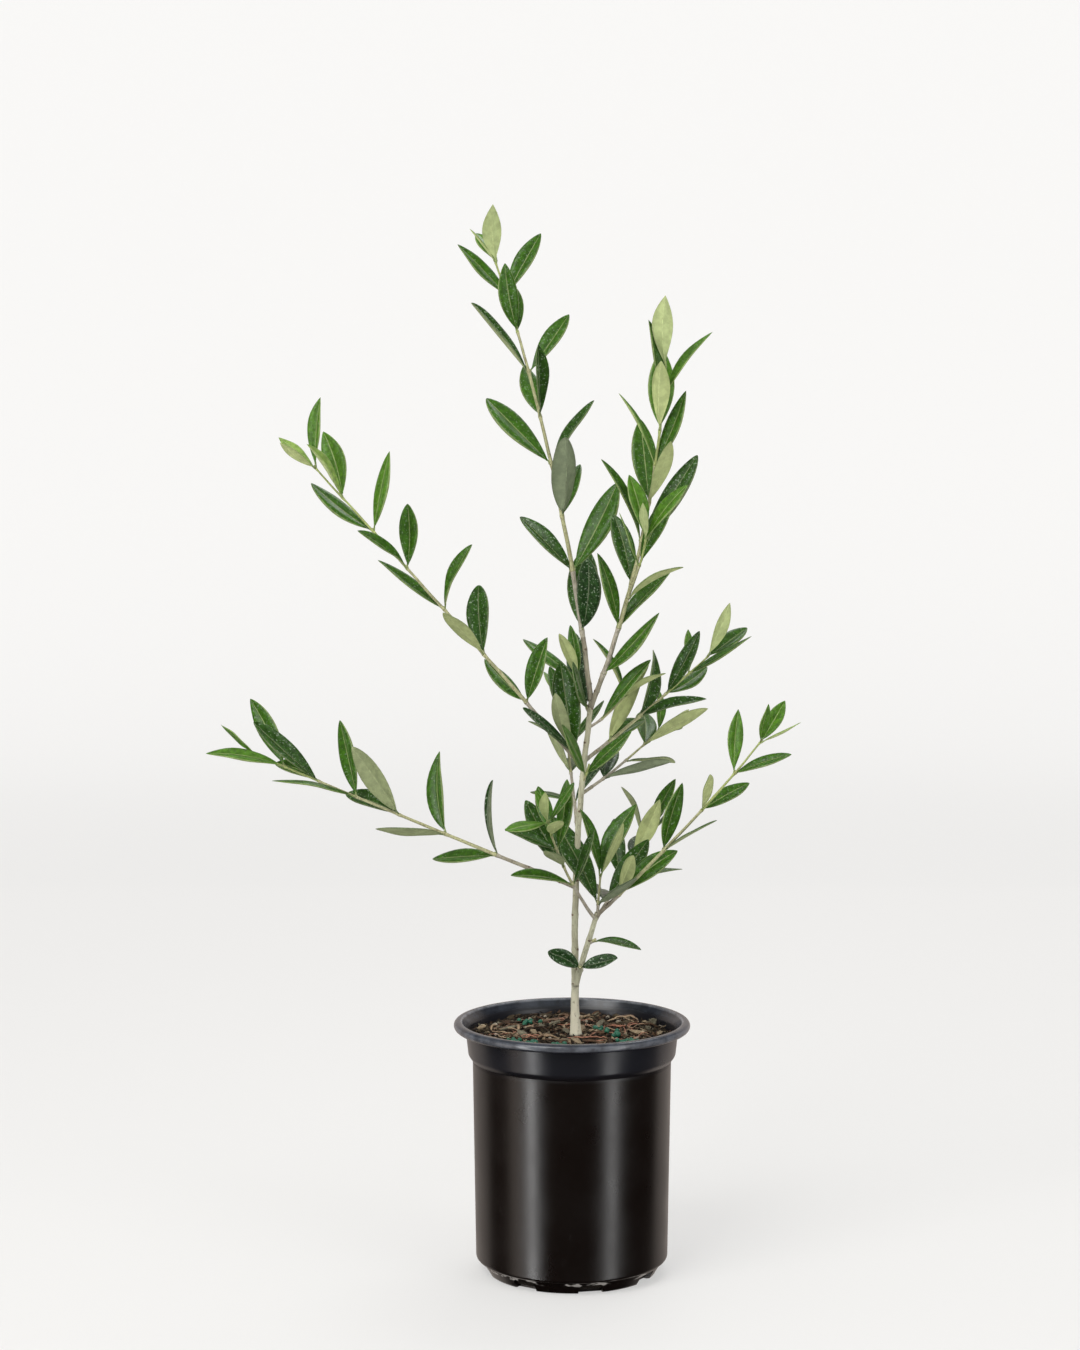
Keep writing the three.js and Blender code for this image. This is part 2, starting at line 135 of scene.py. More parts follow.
# Limbs as in the part's source. Youth is added here: how far the colours of its leaves and
# stem are on the way from old to young.
LIMBS = dict(
    trunk=dict(
        start=(2.4, -8, 168.3), heading=124, rise=89, bend=-6, turn=-138,
        length=233, radius=2.3, tip_radius=1.9, flared=True,
    ),
    left_leader=dict(
        parent="trunk", starts_at=233, heading=137, rise=81, bend=-10, turn=26,
        length=313, radius=1.8, tip_radius=0.65, bare=44, youth=0.24,
        first_pair=49, pairs=9, leaf=63, lift=0.86, roll=155, splay_low=60, splay_high=60, seed=531,
    ),
    right_leader=dict(
        parent="trunk", starts_at=229, heading=338, rise=67, bend=14, turn=-43,
        length=241, radius=1.8, tip_radius=0.65, bare=21, youth=0.36,
        first_pair=25, pairs=9, leaf=64, lift=1.0, roll=111, splay_low=59, splay_high=20, seed=439,
    ),
    low_left=dict(
        parent="trunk", starts_at=103, heading=167, rise=20, bend=1,
        length=249, radius=1.5, bare=55, youth=0.3,
        first_pair=60, pairs=7, leaf=63, lift=0.53, roll=135, splay_low=49, splay_high=29, seed=285,
    ),
    upper_left=dict(
        parent="trunk", starts_at=186, heading=195, rise=49, bend=-2,
        length=279, radius=1.5, bare=50, youth=0.34,
        first_pair=62, pairs=7, leaf=56, lift=1.05, roll=133, splay_low=72, splay_high=56, seed=833,
    ),
    second_stem=dict(
        parent="trunk", starts_at=35, heading=316, rise=69, bend=-1, turn=1,
        length=57, radius=2.2, tip_radius=1.7,
    ),
    low_right=dict(
        parent="second_stem", starts_at=55, heading=338, rise=43, bend=7, turn=-4,
        length=172, radius=1.4, bare=16, youth=0.4,
        first_pair=22, pairs=5, leaf=49, lift=0.41, roll=9, splay_low=32, splay_high=40, seed=534,
    ),
    front_left=dict(
        parent="second_stem", starts_at=52, heading=222, rise=47, bend=12, turn=23,
        length=91, radius=1.3, youth=0.25,
        first_pair=35, pairs=5, leaf=49, lift=0.17, roll=129, splay_low=35, splay_high=50, seed=175,
    ),
    short_right=dict(
        parent="trunk", starts_at=191, heading=34, rise=30, bend=5,
        length=127, radius=1.4, bare=17, youth=0.35,
        first_pair=23, pairs=5, leaf=55, lift=0.63, roll=60, splay_low=39, splay_high=26, seed=372,
    ),
    back_low=dict(
        parent="second_stem", starts_at=50, heading=64, rise=28, bend=4,
        length=110, radius=1.2, bare=18, youth=0.15,
        first_pair=23, pairs=5, leaf=50, roll=46, splay_low=43, splay_high=21, seed=275,
    ),
    back_mid=dict(
        parent="trunk", starts_at=168, heading=50, rise=18, bend=10,
        length=95, radius=1.2, bare=12, youth=0.12,
        first_pair=26, pairs=4, leaf=52, roll=1, splay_low=40, splay_high=34, seed=599,
    ),
    back_left=dict(
        parent="trunk", starts_at=140, heading=96, rise=38, bend=12,
        length=120, radius=1.3, bare=20, youth=0.2,
        first_pair=30, pairs=5, leaf=50, roll=40, splay_low=45, splay_high=25, seed=11,
    ),
    fork_left=dict(
        parent="trunk", starts_at=224, heading=190, rise=66, bend=10,
        length=26, radius=1.0, youth=0.15,
        first_pair=4, pairs=2, leaf=58, lift=0.38, roll=27, splay_low=58, splay_high=60, seed=550,
    ),
    fork_right=dict(
        parent="trunk", starts_at=214, heading=10, rise=30, bend=20,
        length=34, radius=1.0, youth=0.15,
        first_pair=11, pairs=2, leaf=57, lift=0.79, roll=23, splay_low=30, splay_high=71, seed=485,
    ),
    mid_left=dict(
        parent="trunk", starts_at=188, heading=215, rise=40, bend=20,
        length=18, radius=1.0, youth=0.05,
        first_pair=12, pairs=2, leaf=58, lift=0.78, roll=103, splay_low=32, splay_high=24, seed=729,
    ),
    mid_right=dict(
        parent="trunk", starts_at=176, heading=305, rise=50, bend=20,
        length=16, radius=1.0, youth=0.5,
        first_pair=7, pairs=1, leaf=52, roll=6, splay_low=32, splay_high=54, seed=69,
    ),
    front_right=dict(
        parent="right_leader", starts_at=76, heading=297, rise=51, bend=14,
        length=54, radius=1.0, youth=0.5,
        first_pair=6, pairs=3, leaf=57, lift=0.79, roll=66, splay_low=56, splay_high=31, seed=766,
    ),
    stem_tip=dict(
        parent="second_stem", starts_at=57, heading=300, rise=78, bend=8,
        length=26, radius=1.0, youth=0.15,
        first_pair=6, pairs=2, leaf=66, lift=0.36, roll=68, splay_low=52, splay_high=31, seed=186,
    ),
    foot_pair=dict(
        parent="second_stem", starts_at=13, heading=270, rise=20, bend=0,
        length=7, radius=1.0, tip_radius=0.8,
        first_pair=5, pairs=1, leaf=28, slimness=0.36, roll=0, splay_low=75, splay_high=75, seed=17,
    ),
    foot_right=dict(
        parent="second_stem", starts_at=32, heading=330, rise=30, bend=10,
        length=8, radius=1.0, tip_radius=0.8,
        first_pair=5, pairs=1, leaf=38, roll=60, splay_low=50, splay_high=50, seed=18,
    ),
)

# ------------------------ limbs

BITS = 0xFFFFFFFF

# How a limb's bark and twig stray sideways from its arc.
STRAY = dict(width=0.5, pitch=0.055, layers=(11.3, 47.9), settled_at=12, seed_step=9.7)


def random_from(seed):
    """Draws between 0 and 1, the same ones as in the part's source."""
    state = seed

    def draw():
        nonlocal state
        state = (state + 0x6D2B79F5) & BITS
        t = ((state ^ (state >> 15)) * (state | 1)) & BITS
        mixed = ((t ^ (t >> 7)) * (t | 61)) & BITS
        t ^= (t + mixed) & BITS
        return ((t ^ (t >> 14)) & BITS) / 4294967296

    return draw


def measures_from(chances, draw):
    """A function that draws a measure by its name."""
    def drawn(name):
        least, more = chances[name]
        return least + more * draw()

    return drawn


def value_noise(point, pitch):
    return noise.noise(Vector(point) * pitch)


def way_of(rise, heading):
    """The direction at these angles, in radians."""
    level = math.cos(rise)
    return np.array([level * math.cos(heading), level * math.sin(heading), math.sin(rise)])


class Limb:
    """A tapering stem along an arc, which starts on its parent."""

    def __init__(self, name, size):
        self.name = name
        self.size = size
        self.length = size["length"]
        self.pairs = size["pairs"]
        self.widest = max(size["radius"], size["tip_radius"])
        self.seed = STRAY["seed_step"] * len(limbs)
        if "parent" in size:
            self.root = limbs[size["parent"]].at(size["starts_at"])[0]
        else:
            self.root = np.array(size["start"], float)

        def way_at(share):
            rise = math.radians(size["rise"] + size["bend"] * share)
            return way_of(rise, math.radians(size["heading"] + size["turn"] * share))

        strides = [way_at((i + 0.5) / LIMB_STEPS) * self.length / LIMB_STEPS for i in range(LIMB_STEPS)]
        self.points = np.vstack([self.root, self.root + np.cumsum(strides, axis=0)])
        self.ways = np.array([way_at(i / LIMB_STEPS) for i in range(LIMB_STEPS + 1)])

    def at(self, distance):
        share = min(max(distance / self.length, 0), 1) * LIMB_STEPS
        i = min(int(share), LIMB_STEPS - 1)
        part = share - i
        point = self.points[i] * (1 - part) + self.points[i + 1] * part
        return point, unit(self.ways[i] * (1 - part) + self.ways[i + 1] * part)

    def strayed(self, distance):
        """The point at this distance, moved a little sideways, more so away from the parent."""
        stray = [value_noise((distance, self.seed, layer), STRAY["pitch"]) for layer in STRAY["layers"]]
        settled = min(1, distance / STRAY["settled_at"])
        return self.at(distance)[0] + np.array([*stray, 0.0]) * STRAY["width"] * settled

    def radius_at(self, distance):
        size = self.size
        taper = size["radius"] + (size["tip_radius"] - size["radius"]) * distance / self.length
        if not size["flared"]:
            return taper
        wide = TRUNK_FLARE["wide"] * math.exp(-distance / TRUNK_FLARE["wide_reach"])
        return taper + wide + TRUNK_FLARE["long"] * math.exp(-distance / TRUNK_FLARE["long_reach"])

    def pair_share(self, pair):
        return pair / (self.pairs - 1) if self.pairs > 1 else 0

    def pair_at(self, pair):
        share = self.pair_share(pair)
        along = share * (1 + LEAF["crowding"] - LEAF["crowding"] * share)
        first = self.size["first_pair"]
        return first + (self.length - first) * along


limbs = {}
for limb_name, limb_size in LIMBS.items():
    limbs[limb_name] = Limb(limb_name, {**USUAL_LIMB, **limb_size})

# ------------------------ the leaf rule


def blade(share):
    """Half the blade's width at a share of its length, as a share of its widest."""
    past = np.clip((share - LEAF["petiole"]) / (1 - LEAF["petiole"]), 0, 1)
    swell = np.maximum(np.sin(np.pi * past), 0) ** LEAF["fullness"]
    return np.where(share <= LEAF["petiole"], LEAF["petiole_width"], np.maximum(LEAF["tip_width"], swell))


class Leaf:
    """A blade that leaves the stem's centre, with its upper face along face, bent down by curl."""

    def __init__(self, limb, share, distance, way, face, length, slimness, curl, tone):
        self.limb = limb
        self.share = share
        self.root, self.stem = limb.at(distance)
        self.stem_radius = limb.radius_at(distance)
        self.way = way
        self.face = face
        self.across = np.cross(face, way)
        self.length = length
        self.width = length * slimness
        self.curl = curl
        self.tone = tone
        self.middle = self.root + way * length / 2
        bends = (curl / 2 * STATIONS ** 2)[:, None]
        spine = self.root + length * (STATIONS[:, None] * way - bends * face)
        spread = (self.width / 2 * blade(STATIONS))[:, None] * self.across
        self.rails = np.stack([spine + spread, spine, spine - spread])

    def covers(self, share, side):
        inside = (share > TOUCH["first_share"]) & (share < TOUCH["last_share"])
        return inside & (np.abs(side) < self.width / 2 * blade(share) + TOUCH["edge"])

    def is_crossed_by(self, other):
        away = other.rails - self.root
        share = away @ self.way / self.length
        side = away @ self.across
        above = away @ self.face + self.length * self.curl / 2 * np.clip(share, 0, 1) ** 2
        if np.any(self.covers(share, side)[:, 1:] & (np.abs(above) < TOUCH["face"])[:, 1:]):
            return True
        last, here = above[:, :-1], above[:, 1:]
        crossing = last * here < 0
        t = last / np.where(crossing, last - here, 1)
        share_there = share[:, :-1] + (share[:, 1:] - share[:, :-1]) * t
        side_there = side[:, :-1] + (side[:, 1:] - side[:, :-1]) * t
        return bool(np.any(crossing & self.covers(share_there, side_there)))

    def touches_leaf(self, other):
        reach = math.hypot(TOUCH["near"] * (self.length + other.length), TOUCH["slack"])
        if math.dist(self.middle, other.middle) >= reach:
            return False
        return self.is_crossed_by(other) or other.is_crossed_by(self)

    def touches_limb(self, limb, first_station):
        starts = limb.points[:-1][None]
        spans = (limb.points[1:] - limb.points[:-1])[None]
        away = self.rails[:, first_station:].reshape(-1, 1, 3) - starts
        t = np.clip((away * spans).sum(2) / (spans * spans).sum(2), 0, 1)
        nearest = np.linalg.norm(away - spans * t[..., None], axis=2).min()
        return nearest < limb.widest + TOUCH["limb"]

    def is_clear(self, grown):
        """Its own limb may touch it up to its third station, another limb only at its root."""
        if any(self.touches_leaf(other) for other in grown):
            return False
        return not any(self.touches_limb(limb, 3 if limb is self.limb else 1) for limb in limbs.values())


def spoke_at(limb, distance, degrees):
    """The limb's way here, and the direction square to it at this angle from level."""
    way = limb.at(distance)[1]
    level = unit(np.cross(way, UP))
    around = math.radians(degrees)
    return way, level * math.cos(around) + np.cross(level, way) * math.sin(around)


def grow_leaf(limb, pair, side, draw):
    size = limb.size
    share = limb.pair_share(pair)
    distance = limb.pair_at(pair)
    drawn = measures_from(CHANCES, draw)
    stem, outward = spoke_at(limb, distance, size["roll"] + 90 * pair + 180 * side + drawn("around"))
    splay_here = size["splay_low"] + (size["splay_high"] - size["splay_low"]) * share
    splay = math.radians(splay_here + drawn("splay"))
    length = size["leaf"] * (1 - LEAF["shorter"] * share ** 3) * drawn("length")
    to_light = drawn("light")
    curl = math.radians(drawn("curl"))
    slimness = size["slimness"] + drawn("slimness")
    tone = draw()
    lifted = UP * size["lift"] * math.sin(splay)
    way = unit(stem * math.cos(splay) + outward * math.sin(splay) + lifted)
    inner = np.cross(way, np.cross(stem, outward))
    inner = unit(inner - way * (inner @ way))
    lit = unit(LIGHT - way * (LIGHT @ way))
    face = unit(inner * (1 - to_light) + lit * to_light)
    return Leaf(limb, share, distance, way, face, length, slimness, curl, tone)


def grow_tip_leaf(limb, side, draw):
    stem, outward = spoke_at(limb, limb.length, limb.size["roll"] + 90 * limb.pairs + 180 * side)
    drawn = measures_from(TIP_CHANCES, draw)
    splay = math.radians(drawn("splay"))
    way = unit(stem * math.cos(splay) + outward * math.sin(splay))
    face = unit(np.cross(way, np.cross(stem, outward)))
    length = limb.size["leaf"] * drawn("length")
    return Leaf(limb, 1, limb.length, way, face, length, limb.size["slimness"], 0, 0.5)


def grow_leaves(limb, earlier):
    """Crossed pairs and a smaller last pair. A leaf that would touch is drawn again, then left out."""
    draw = random_from(limb.size["seed"])
    leaves = []
    for pair in range(limb.pairs):
        for side in (0, 1):
            for _ in range(LEAF["tries"]):
                leaf = grow_leaf(limb, pair, side, draw)
                if leaf.is_clear(earlier + leaves):
                    leaves.append(leaf)
                    break
    for side in (0, 1) if limb.pairs > 1 else ():
        leaf = grow_tip_leaf(limb, side, draw)
        if leaf.is_clear(earlier + leaves):
            leaves.append(leaf)
    return leaves


all_leaves = []
for grown_limb in limbs.values():
    if grown_limb.pairs:
        all_leaves += grow_leaves(grown_limb, all_leaves)

# ------------------------ mesh helpers


def ring_angles(sides):
    return 2 * np.pi * np.arange(sides) / sides


def grid_faces(rows, columns, closed=False, flipped=False):
    """Quads between neighbouring rows; closed joins the last column to the first."""
    first = np.arange(rows - 1)[:, None] * columns
    here = np.arange(columns if closed else columns - 1)[None]
    after = (here + 1) % columns
    corners = [first + here, first + after, first + columns + after, first + columns + here]
    if flipped:
        corners.reverse()
    return np.stack(corners, axis=-1).reshape(-1, 4)


def capped_faces(rows, sides):
    """Quads round closed rows, and fans to the two end points that come after the rows."""
    faces = grid_faces(rows, sides, closed=True).tolist()
    end = rows * sides
    for i in range(sides):
        after = (i + 1) % sides
        faces.append([after, i, end])
        faces.append([end - sides + i, end - sides + after, end + 1])
    return faces


def revolve(profile, sides):
    """The points of a profile of radii and heights, turned about the pot's axis."""
    angles = ring_angles(sides)
    radius, height = np.array(profile, float).T[..., None]
    level = np.repeat(height, sides, axis=1)
    return np.stack([radius * np.cos(angles), radius * np.sin(angles), level], axis=-1).reshape(-1, 3)


def arc_points(centre_radius, centre_height, radius, from_degrees, to_degrees, steps):
    angles = np.radians(np.linspace(from_degrees, to_degrees, steps + 1))
    return [(centre_radius + radius * math.cos(a), centre_height + radius * math.sin(a)) for a in angles]


def link(name, data):
    """A new object in the scene."""
    thing = bpy.data.objects.new(name, data)
    bpy.context.scene.collection.objects.link(thing)
    return thing


def add_object(name, points, faces, materials=()):
    """A mesh object in the scene, from points in metres."""
    mesh = bpy.data.meshes.new(name)
    mesh.from_pydata(points, [], faces)
    for material in materials:
        mesh.materials.append(material)
    return link(name, mesh)


class Pile:
    """Points in millimetres and faces, gathered for one piece. Each face has a material number."""

    def __init__(self):
        self.points = []
        self.faces = []
        self.skins = []
        self.count = 0

    def add(self, points, faces, skins=0):
        """Skins is one material number for all the faces, or a list with one for each."""
        self.points.append(np.asarray(points, float).reshape(-1, 3))
        self.faces += [tuple(int(corner) + self.count for corner in face) for face in faces]
        self.skins += [skins] * len(faces) if isinstance(skins, int) else skins
        self.count += len(self.points[-1])

    def make(self, name, materials, slot, nodes=(), smooth=True):
        piece = add_object(name, np.vstack(self.points) * MM, self.faces, materials)
        piece.data.polygons.foreach_set("material_index", self.skins)
        piece.data.polygons.foreach_set("use_smooth", [smooth] * len(self.faces))
        piece.data.update()
        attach(piece, "root")
        if nodes:
            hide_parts(*nodes)
        return piece


def add_tube(pile, points, radii, skin=0, ways=None):
    """A closed tube through points. Radii has a row for each point and a column for each side."""
    ways = unit(np.gradient(points, axis=0)) if ways is None else ways
    rows, sides = radii.shape
    reference = AWAY if abs(ways[0][2]) > 0.8 else UP
    across = unit(np.cross(ways, reference))
    over = np.cross(ways, across)
    angles = ring_angles(sides)
    spokes = np.cos(angles)[None, :, None] * across[:, None] + np.sin(angles)[None, :, None] * over[:, None]
    rings = points[:, None] + radii[..., None] * spokes
    pile.add(np.vstack([rings.reshape(-1, 3), points[[0, -1]]]), capped_faces(rows, sides), skin)


def ball(rings, sides):
    """A unit ball's points and faces, its poles on the Z axis."""
    heights = np.pi * np.arange(1, rings) / rings
    points = revolve([(math.sin(h), -math.cos(h)) for h in heights], sides)
    return np.vstack([points, -UP, UP]), capped_faces(rings - 1, sides)


# ------------------------ finishes


def shaded(colour, factor):
    return tuple(min(channel * factor, 1.0) for channel in colour)


def between(first, second, share):
    return tuple(a * (1 - share) + b * share for a, b in zip(first, second))


class Finish:
    """A material in the making: its shader, and short calls for the nodes in front of it."""

    def __init__(self, name, roughness, specular=0.5):
        self.material = bpy.data.materials.new(name)
        self.material.use_nodes = True
        self.new = self.material.node_tree.nodes.new
        self.shader = self.material.node_tree.nodes["Principled BSDF"]
        self.fill(self.shader, {"Roughness": roughness, "Specular IOR Level": specular})
        self.place = self.new("ShaderNodeTexCoord").outputs["Object"]

    def fill(self, node, inputs):
        """Links or sets a node's inputs, and returns its outputs."""
        for name, value in inputs.items():
            socket = node.inputs[name]
            if isinstance(value, bpy.types.NodeSocket):
                self.material.node_tree.links.new(value, socket)
            elif socket.type == "RGBA":
                socket.default_value = (*value, 1)
            else:
                socket.default_value = value
        return node.outputs

    def shade(self, name, value):
        self.fill(self.shader, {name: value})

    def noise(self, scale, detail=3.0, rough=0.55, stretch=(1, 1, 1)):
        """Noise with features about 1/scale metres across, from 0 to 1."""
        mapping = self.fill(self.new("ShaderNodeMapping"), {"Scale": stretch, "Vector": self.place})
        inputs = {"Scale": scale, "Detail": detail, "Roughness": rough, "Vector": mapping["Vector"]}
        return self.fill(self.new("ShaderNodeTexNoise"), inputs)["Fac"]

    def spread(self, value, low, high, to_low=0.0, to_high=1.0):
        """The value's part from low to high, drawn out smoothly to the new range."""
        node = self.new("ShaderNodeMapRange")
        node.interpolation_type = "SMOOTHSTEP"
        inputs = {"Value": value, "From Min": low, "From Max": high, "To Min": to_low, "To Max": to_high}
        return self.fill(node, inputs)["Result"]

    def patches(self, scale, low, high, to_low=0.0, to_high=1.0, **kind):
        """Noise whose part from low to high is drawn out to the new range."""
        return self.spread(self.noise(scale, **kind), low, high, to_low, to_high)

    def maths(self, operation, first, second):
        node = self.new("ShaderNodeMath")
        node.operation = operation
        return self.fill(node, {0: first, 1: second})[0]

    def times(self, first, second):
        return self.maths("MULTIPLY", first, second)

    def mix(self, share, first, second, strength=None):
        """The first colour turned into the second by a share, or by so much of that share."""
        node = self.new("ShaderNodeMix")
        node.data_type = "RGBA"
        share = share if strength is None else self.times(share, strength)
        return self.fill(node, {0: share, 6: first, 7: second})[2]

    def mottled(self, colour, dark, pale, scale, low, high, **kind):
        """The colour in patches that are darker and paler than it by these factors."""
        share = self.patches(scale, low, high, **kind)
        return self.mix(share, shaded(colour, dark), shaded(colour, pale))

    def height(self):
        return self.fill(self.new("ShaderNodeSeparateXYZ"), {0: self.place})["Z"]

    def from_axis(self):
        """The distance from the pot's axis."""
        flat = self.new("ShaderNodeVectorMath")
        flat.operation = "MULTIPLY"
        length = self.new("ShaderNodeVectorMath")
        length.operation = "LENGTH"
        level = self.fill(flat, {0: self.place, 1: (1, 1, 0)})["Vector"]
        return self.fill(length, {0: level})["Value"]

    def facing_up(self):
        normal = self.new("ShaderNodeNewGeometry").outputs["Normal"]
        return self.fill(self.new("ShaderNodeSeparateXYZ"), {0: normal})["Z"]

    def relief(self, value, depth, strength=1.0):
        """Bump of this depth in millimetres."""
        inputs = {"Strength": strength, "Distance": depth * MM, "Height": value}
        self.shade("Normal", self.fill(self.new("ShaderNodeBump"), inputs)["Normal"])


# Where the pot's finish changes, as heights and as distances from the axis, in metres.
POT_ZONES = dict(
    foot_start=(0.0055, 0.0068),
    foot_end=(0.0088, 0.0105),
    band=(0.146, 0.156),
    rim=(0.1705, 0.1735),
    rim_top=(0.1754, 0.1763),
    inner_edge=(0.0772, 0.0784),
    outer_edge=(0.0814, 0.0824),
)

POT_COLOURS = dict(
    black=(0.0045, 0.0023, 0.0016),
    brown_black=(0.0068, 0.0045, 0.0037),
    scuff=(0.05, 0.047, 0.045),
    band=(0.011, 0.0118, 0.0165),
    # Dust on the rim, partly painted bluish sheen.
    dust_and_sheen=(0.055, 0.066, 0.088),
    # Painted highlight along the rim's outer and inner edges.
    edge=(0.2, 0.21, 0.235),
    # Painted glints on the foot.
    painted_glint=(0.36, 0.34, 0.32),
)

PALE_FOOT = (0.176, 0.215)
PALE_DOT = (0.3, 0.38, 0.27)


def pot_finish():
    """Satin black plastic, browner on the wall, with bluish dust and painted sheen on the rim, painted
    highlights along its edges and painted glints on the foot.
    """
    zone = POT_ZONES
    tint = POT_COLOURS
    finish = Finish("satin_black_plastic", 0.3, specular=0.42)
    height = finish.height()
    from_axis = finish.from_axis()
    clouds = finish.noise(26, detail=4)
    colour = finish.mix(clouds, tint["black"], tint["brown_black"])
    scuffs = finish.patches(330, 0.62, 0.8, detail=5, stretch=(1, 1, 0.3))
    colour = finish.mix(scuffs, colour, tint["scuff"], 0.2)
    colour = finish.mix(finish.spread(height, *zone["band"]), colour, tint["band"], 0.8)
    # Dust on the rim, heavier where it faces up, in a bluish colour that is partly painted sheen.
    on_rim = finish.spread(height, *zone["rim"])
    up = finish.spread(finish.facing_up(), -0.3, 0.9, 0.25, 1.0)
    patches = finish.patches(150, 0.3, 0.72, 0.35, 1.0, detail=5)
    dust_and_sheen = finish.times(finish.times(on_rim, up), patches)
    colour = finish.mix(dust_and_sheen, colour, tint["dust_and_sheen"], 0.7)
    # Painted highlight: pale lines along the rim's outer roll and along the inner edge of its top.
    outer = finish.spread(from_axis, *zone["outer_edge"], 0.0, 0.55)
    inner = finish.spread(from_axis, *zone["inner_edge"], 1.0, 0.0)
    inner = finish.times(inner, finish.spread(height, *zone["rim_top"]))
    painted_rim_highlights = finish.times(finish.maths("MAXIMUM", outer, inner), patches)
    colour = finish.mix(painted_rim_highlights, colour, tint["edge"], 0.85)
    # Painted glints: pale patches on the foot's ledge, where light would catch its edges.
    foot_start = finish.spread(height, *zone["foot_start"])
    on_foot = finish.times(foot_start, finish.spread(height, *zone["foot_end"], 1.0, 0.0))
    painted_foot_glints = finish.patches(95, 0.53, 0.6, 0.0, 0.85, detail=2, stretch=(1, 1, 2.5))
    finish.shade("Base Color", finish.mix(finish.times(on_foot, painted_foot_glints), colour, tint["painted_glint"]))
    worn = finish.spread(clouds, 0.3, 0.7, 0.27, 0.34)
    finish.shade("Roughness", finish.maths("ADD", worn, finish.times(on_rim, -0.08)))
    finish.relief(finish.noise(700, detail=2), 0.05, strength=0.25)
    return finish.material


def mix_finish(name, colour, grain=520, depth=0.5):
    """Loose organic stuff: a base colour broken up by darker and paler grain."""
    finish = Finish(name, 0.9, specular=0.2)
    grains = finish.noise(grain, detail=6, rough=0.65)
    base = finish.mottled(colour, 0.6, 1.35, 110, 0.35, 0.7)
    lit = finish.spread(grains, 0.3, 0.75)
    finish.shade("Base Color", finish.mix(lit, shaded(colour, 0.45), base))
    finish.relief(grains, depth)
    return finish.material


def prill_finish():
    """Fertiliser prills: waxy teal-green shells."""
    finish = Finish("teal_prill_shell", 0.38)
    finish.shade("Base Color", finish.mix(finish.noise(300), (0.003, 0.062, 0.034), (0.011, 0.14, 0.08)))
    finish.relief(finish.noise(1500), 0.05)
    return finish.material


def bark_finish(name, colour, dark, streak, foot=None):
    """Thin smooth bark: pale and dark streaks, brown flecks, a fine grain and maybe a paler foot."""
    finish = Finish(name, 0.72, specular=0.3)
    streaks = finish.noise(streak, detail=5, rough=0.6, stretch=(1, 1, 0.16))
    base = finish.mix(finish.spread(streaks, 0.32, 0.68), shaded(colour, 0.68), shaded(colour, 1.18))
    base = finish.mix(finish.patches(45, 0.35, 0.65, detail=4), base, dark, 0.45)
    if foot:
        base = finish.mix(finish.spread(finish.height(), *PALE_FOOT, 0.75, 0.0), base, foot)
    flecks = finish.patches(620, 0.62, 0.7, detail=2, stretch=(1, 1, 0.5))
    finish.shade("Base Color", finish.mix(flecks, base, shaded(dark, 0.45), 0.6))
    finish.relief(finish.maths("ADD", streaks, finish.noise(1400, detail=3)), 0.22)
    return finish.material


def stem_finish(name, colour):
    """Green or ripening stem: a soft mottle with darker, browner streaks along it."""
    finish = Finish(name, 0.58, specular=0.35)
    base = finish.mottled(colour, 0.78, 1.16, 260, 0.3, 0.7, detail=4)
    streaks = finish.patches(900, 0.5, 0.68, detail=3, stretch=(1, 1, 0.12))
    brown = (0.55 * colour[0], 0.42 * colour[1], 0.4 * colour[2])
    finish.shade("Base Color", finish.mix(streaks, base, brown, 0.55))
    finish.relief(finish.noise(1100, detail=3), 0.08)
    return finish.material


def upper_finish(name, colour, dotted):
    """A leathery upper face: mottled green under a waxy gloss, with pale dots on older leaves."""
    finish = Finish(name, 0.4, specular=0.27)
    dark = 0.74 - 0.2 * dotted
    pale = 1.22 + 0.25 * dotted
    green = finish.mottled(colour, dark, pale, 330, 0.34, 0.68, detail=5, rough=0.6)
    dots = finish.patches(720, 0.61, 0.67, detail=1.5, rough=0.5)
    finish.shade("Base Color", finish.mix(dots, green, PALE_DOT, dotted))
    finish.shade("Roughness", finish.patches(90, 0.3, 0.7, 0.3, 0.44, detail=2))
    finish.relief(finish.noise(600, detail=4), 0.14, strength=0.7)
    return finish.material


def under_finish(name, colour):
    """A felted underside: pale, dull and finely scaly."""
    finish = Finish(name, 0.68, specular=0.25)
    scales = finish.patches(2200, 0.45, 0.7, detail=2)
    base = finish.mottled(colour, 0.84, 1.14, 200, 0.3, 0.7, detail=4)
    finish.shade("Base Color", finish.mix(scales, base, shaded(colour, 1.4), 0.3))
    finish.relief(scales, 0.05)
    return finish.material


# ------------------------ pot


def wall_profile(inset, steps):
    """The outer face from the foot to the top of the band, moved inwards by an inset."""
    ledge = POT["ledge_height"] - POT["ledge_rounding"]
    foot = [
        (POT["foot_radius"], POT["wall"]),
        (POT["foot_top_radius"] - 0.8, ledge - 1.4),
        (POT["foot_top_radius"], ledge),
        *arc_points(POT["body_radius"] - POT["ledge_rounding"], POT["ledge_height"],
                    POT["ledge_rounding"], -90, 0, steps),
    ]
    crease = POT["band_foot_radius"] - POT["crease_depth"]
    band_top = POT["height"] - POT["rim_height"]
    wall = [
        (POT["body_top_radius"] - 0.05, POT["crease_height"] - 2),
        (POT["body_top_radius"], POT["crease_height"] - POT["edge"]),
        (crease, POT["crease_height"] - 0.3),
        (crease, POT["crease_height"] + 0.2),
        (POT["band_foot_radius"], POT["crease_height"] + POT["edge"]),
        (POT["band_bottom_radius"] - 0.5, POT["band_bottom_height"] - 0.8),
        (POT["band_bottom_radius"], POT["band_bottom_height"] + 0.4),
        (POT["band_top_radius"] - 0.1, band_top - 1.5),
        (POT["band_top_radius"] + 0.4, band_top - 0.3),
    ]
    lower = [(radius - inset, height + inset) for radius, height in foot]
    return lower + [(radius - inset, height) for radius, height in wall]


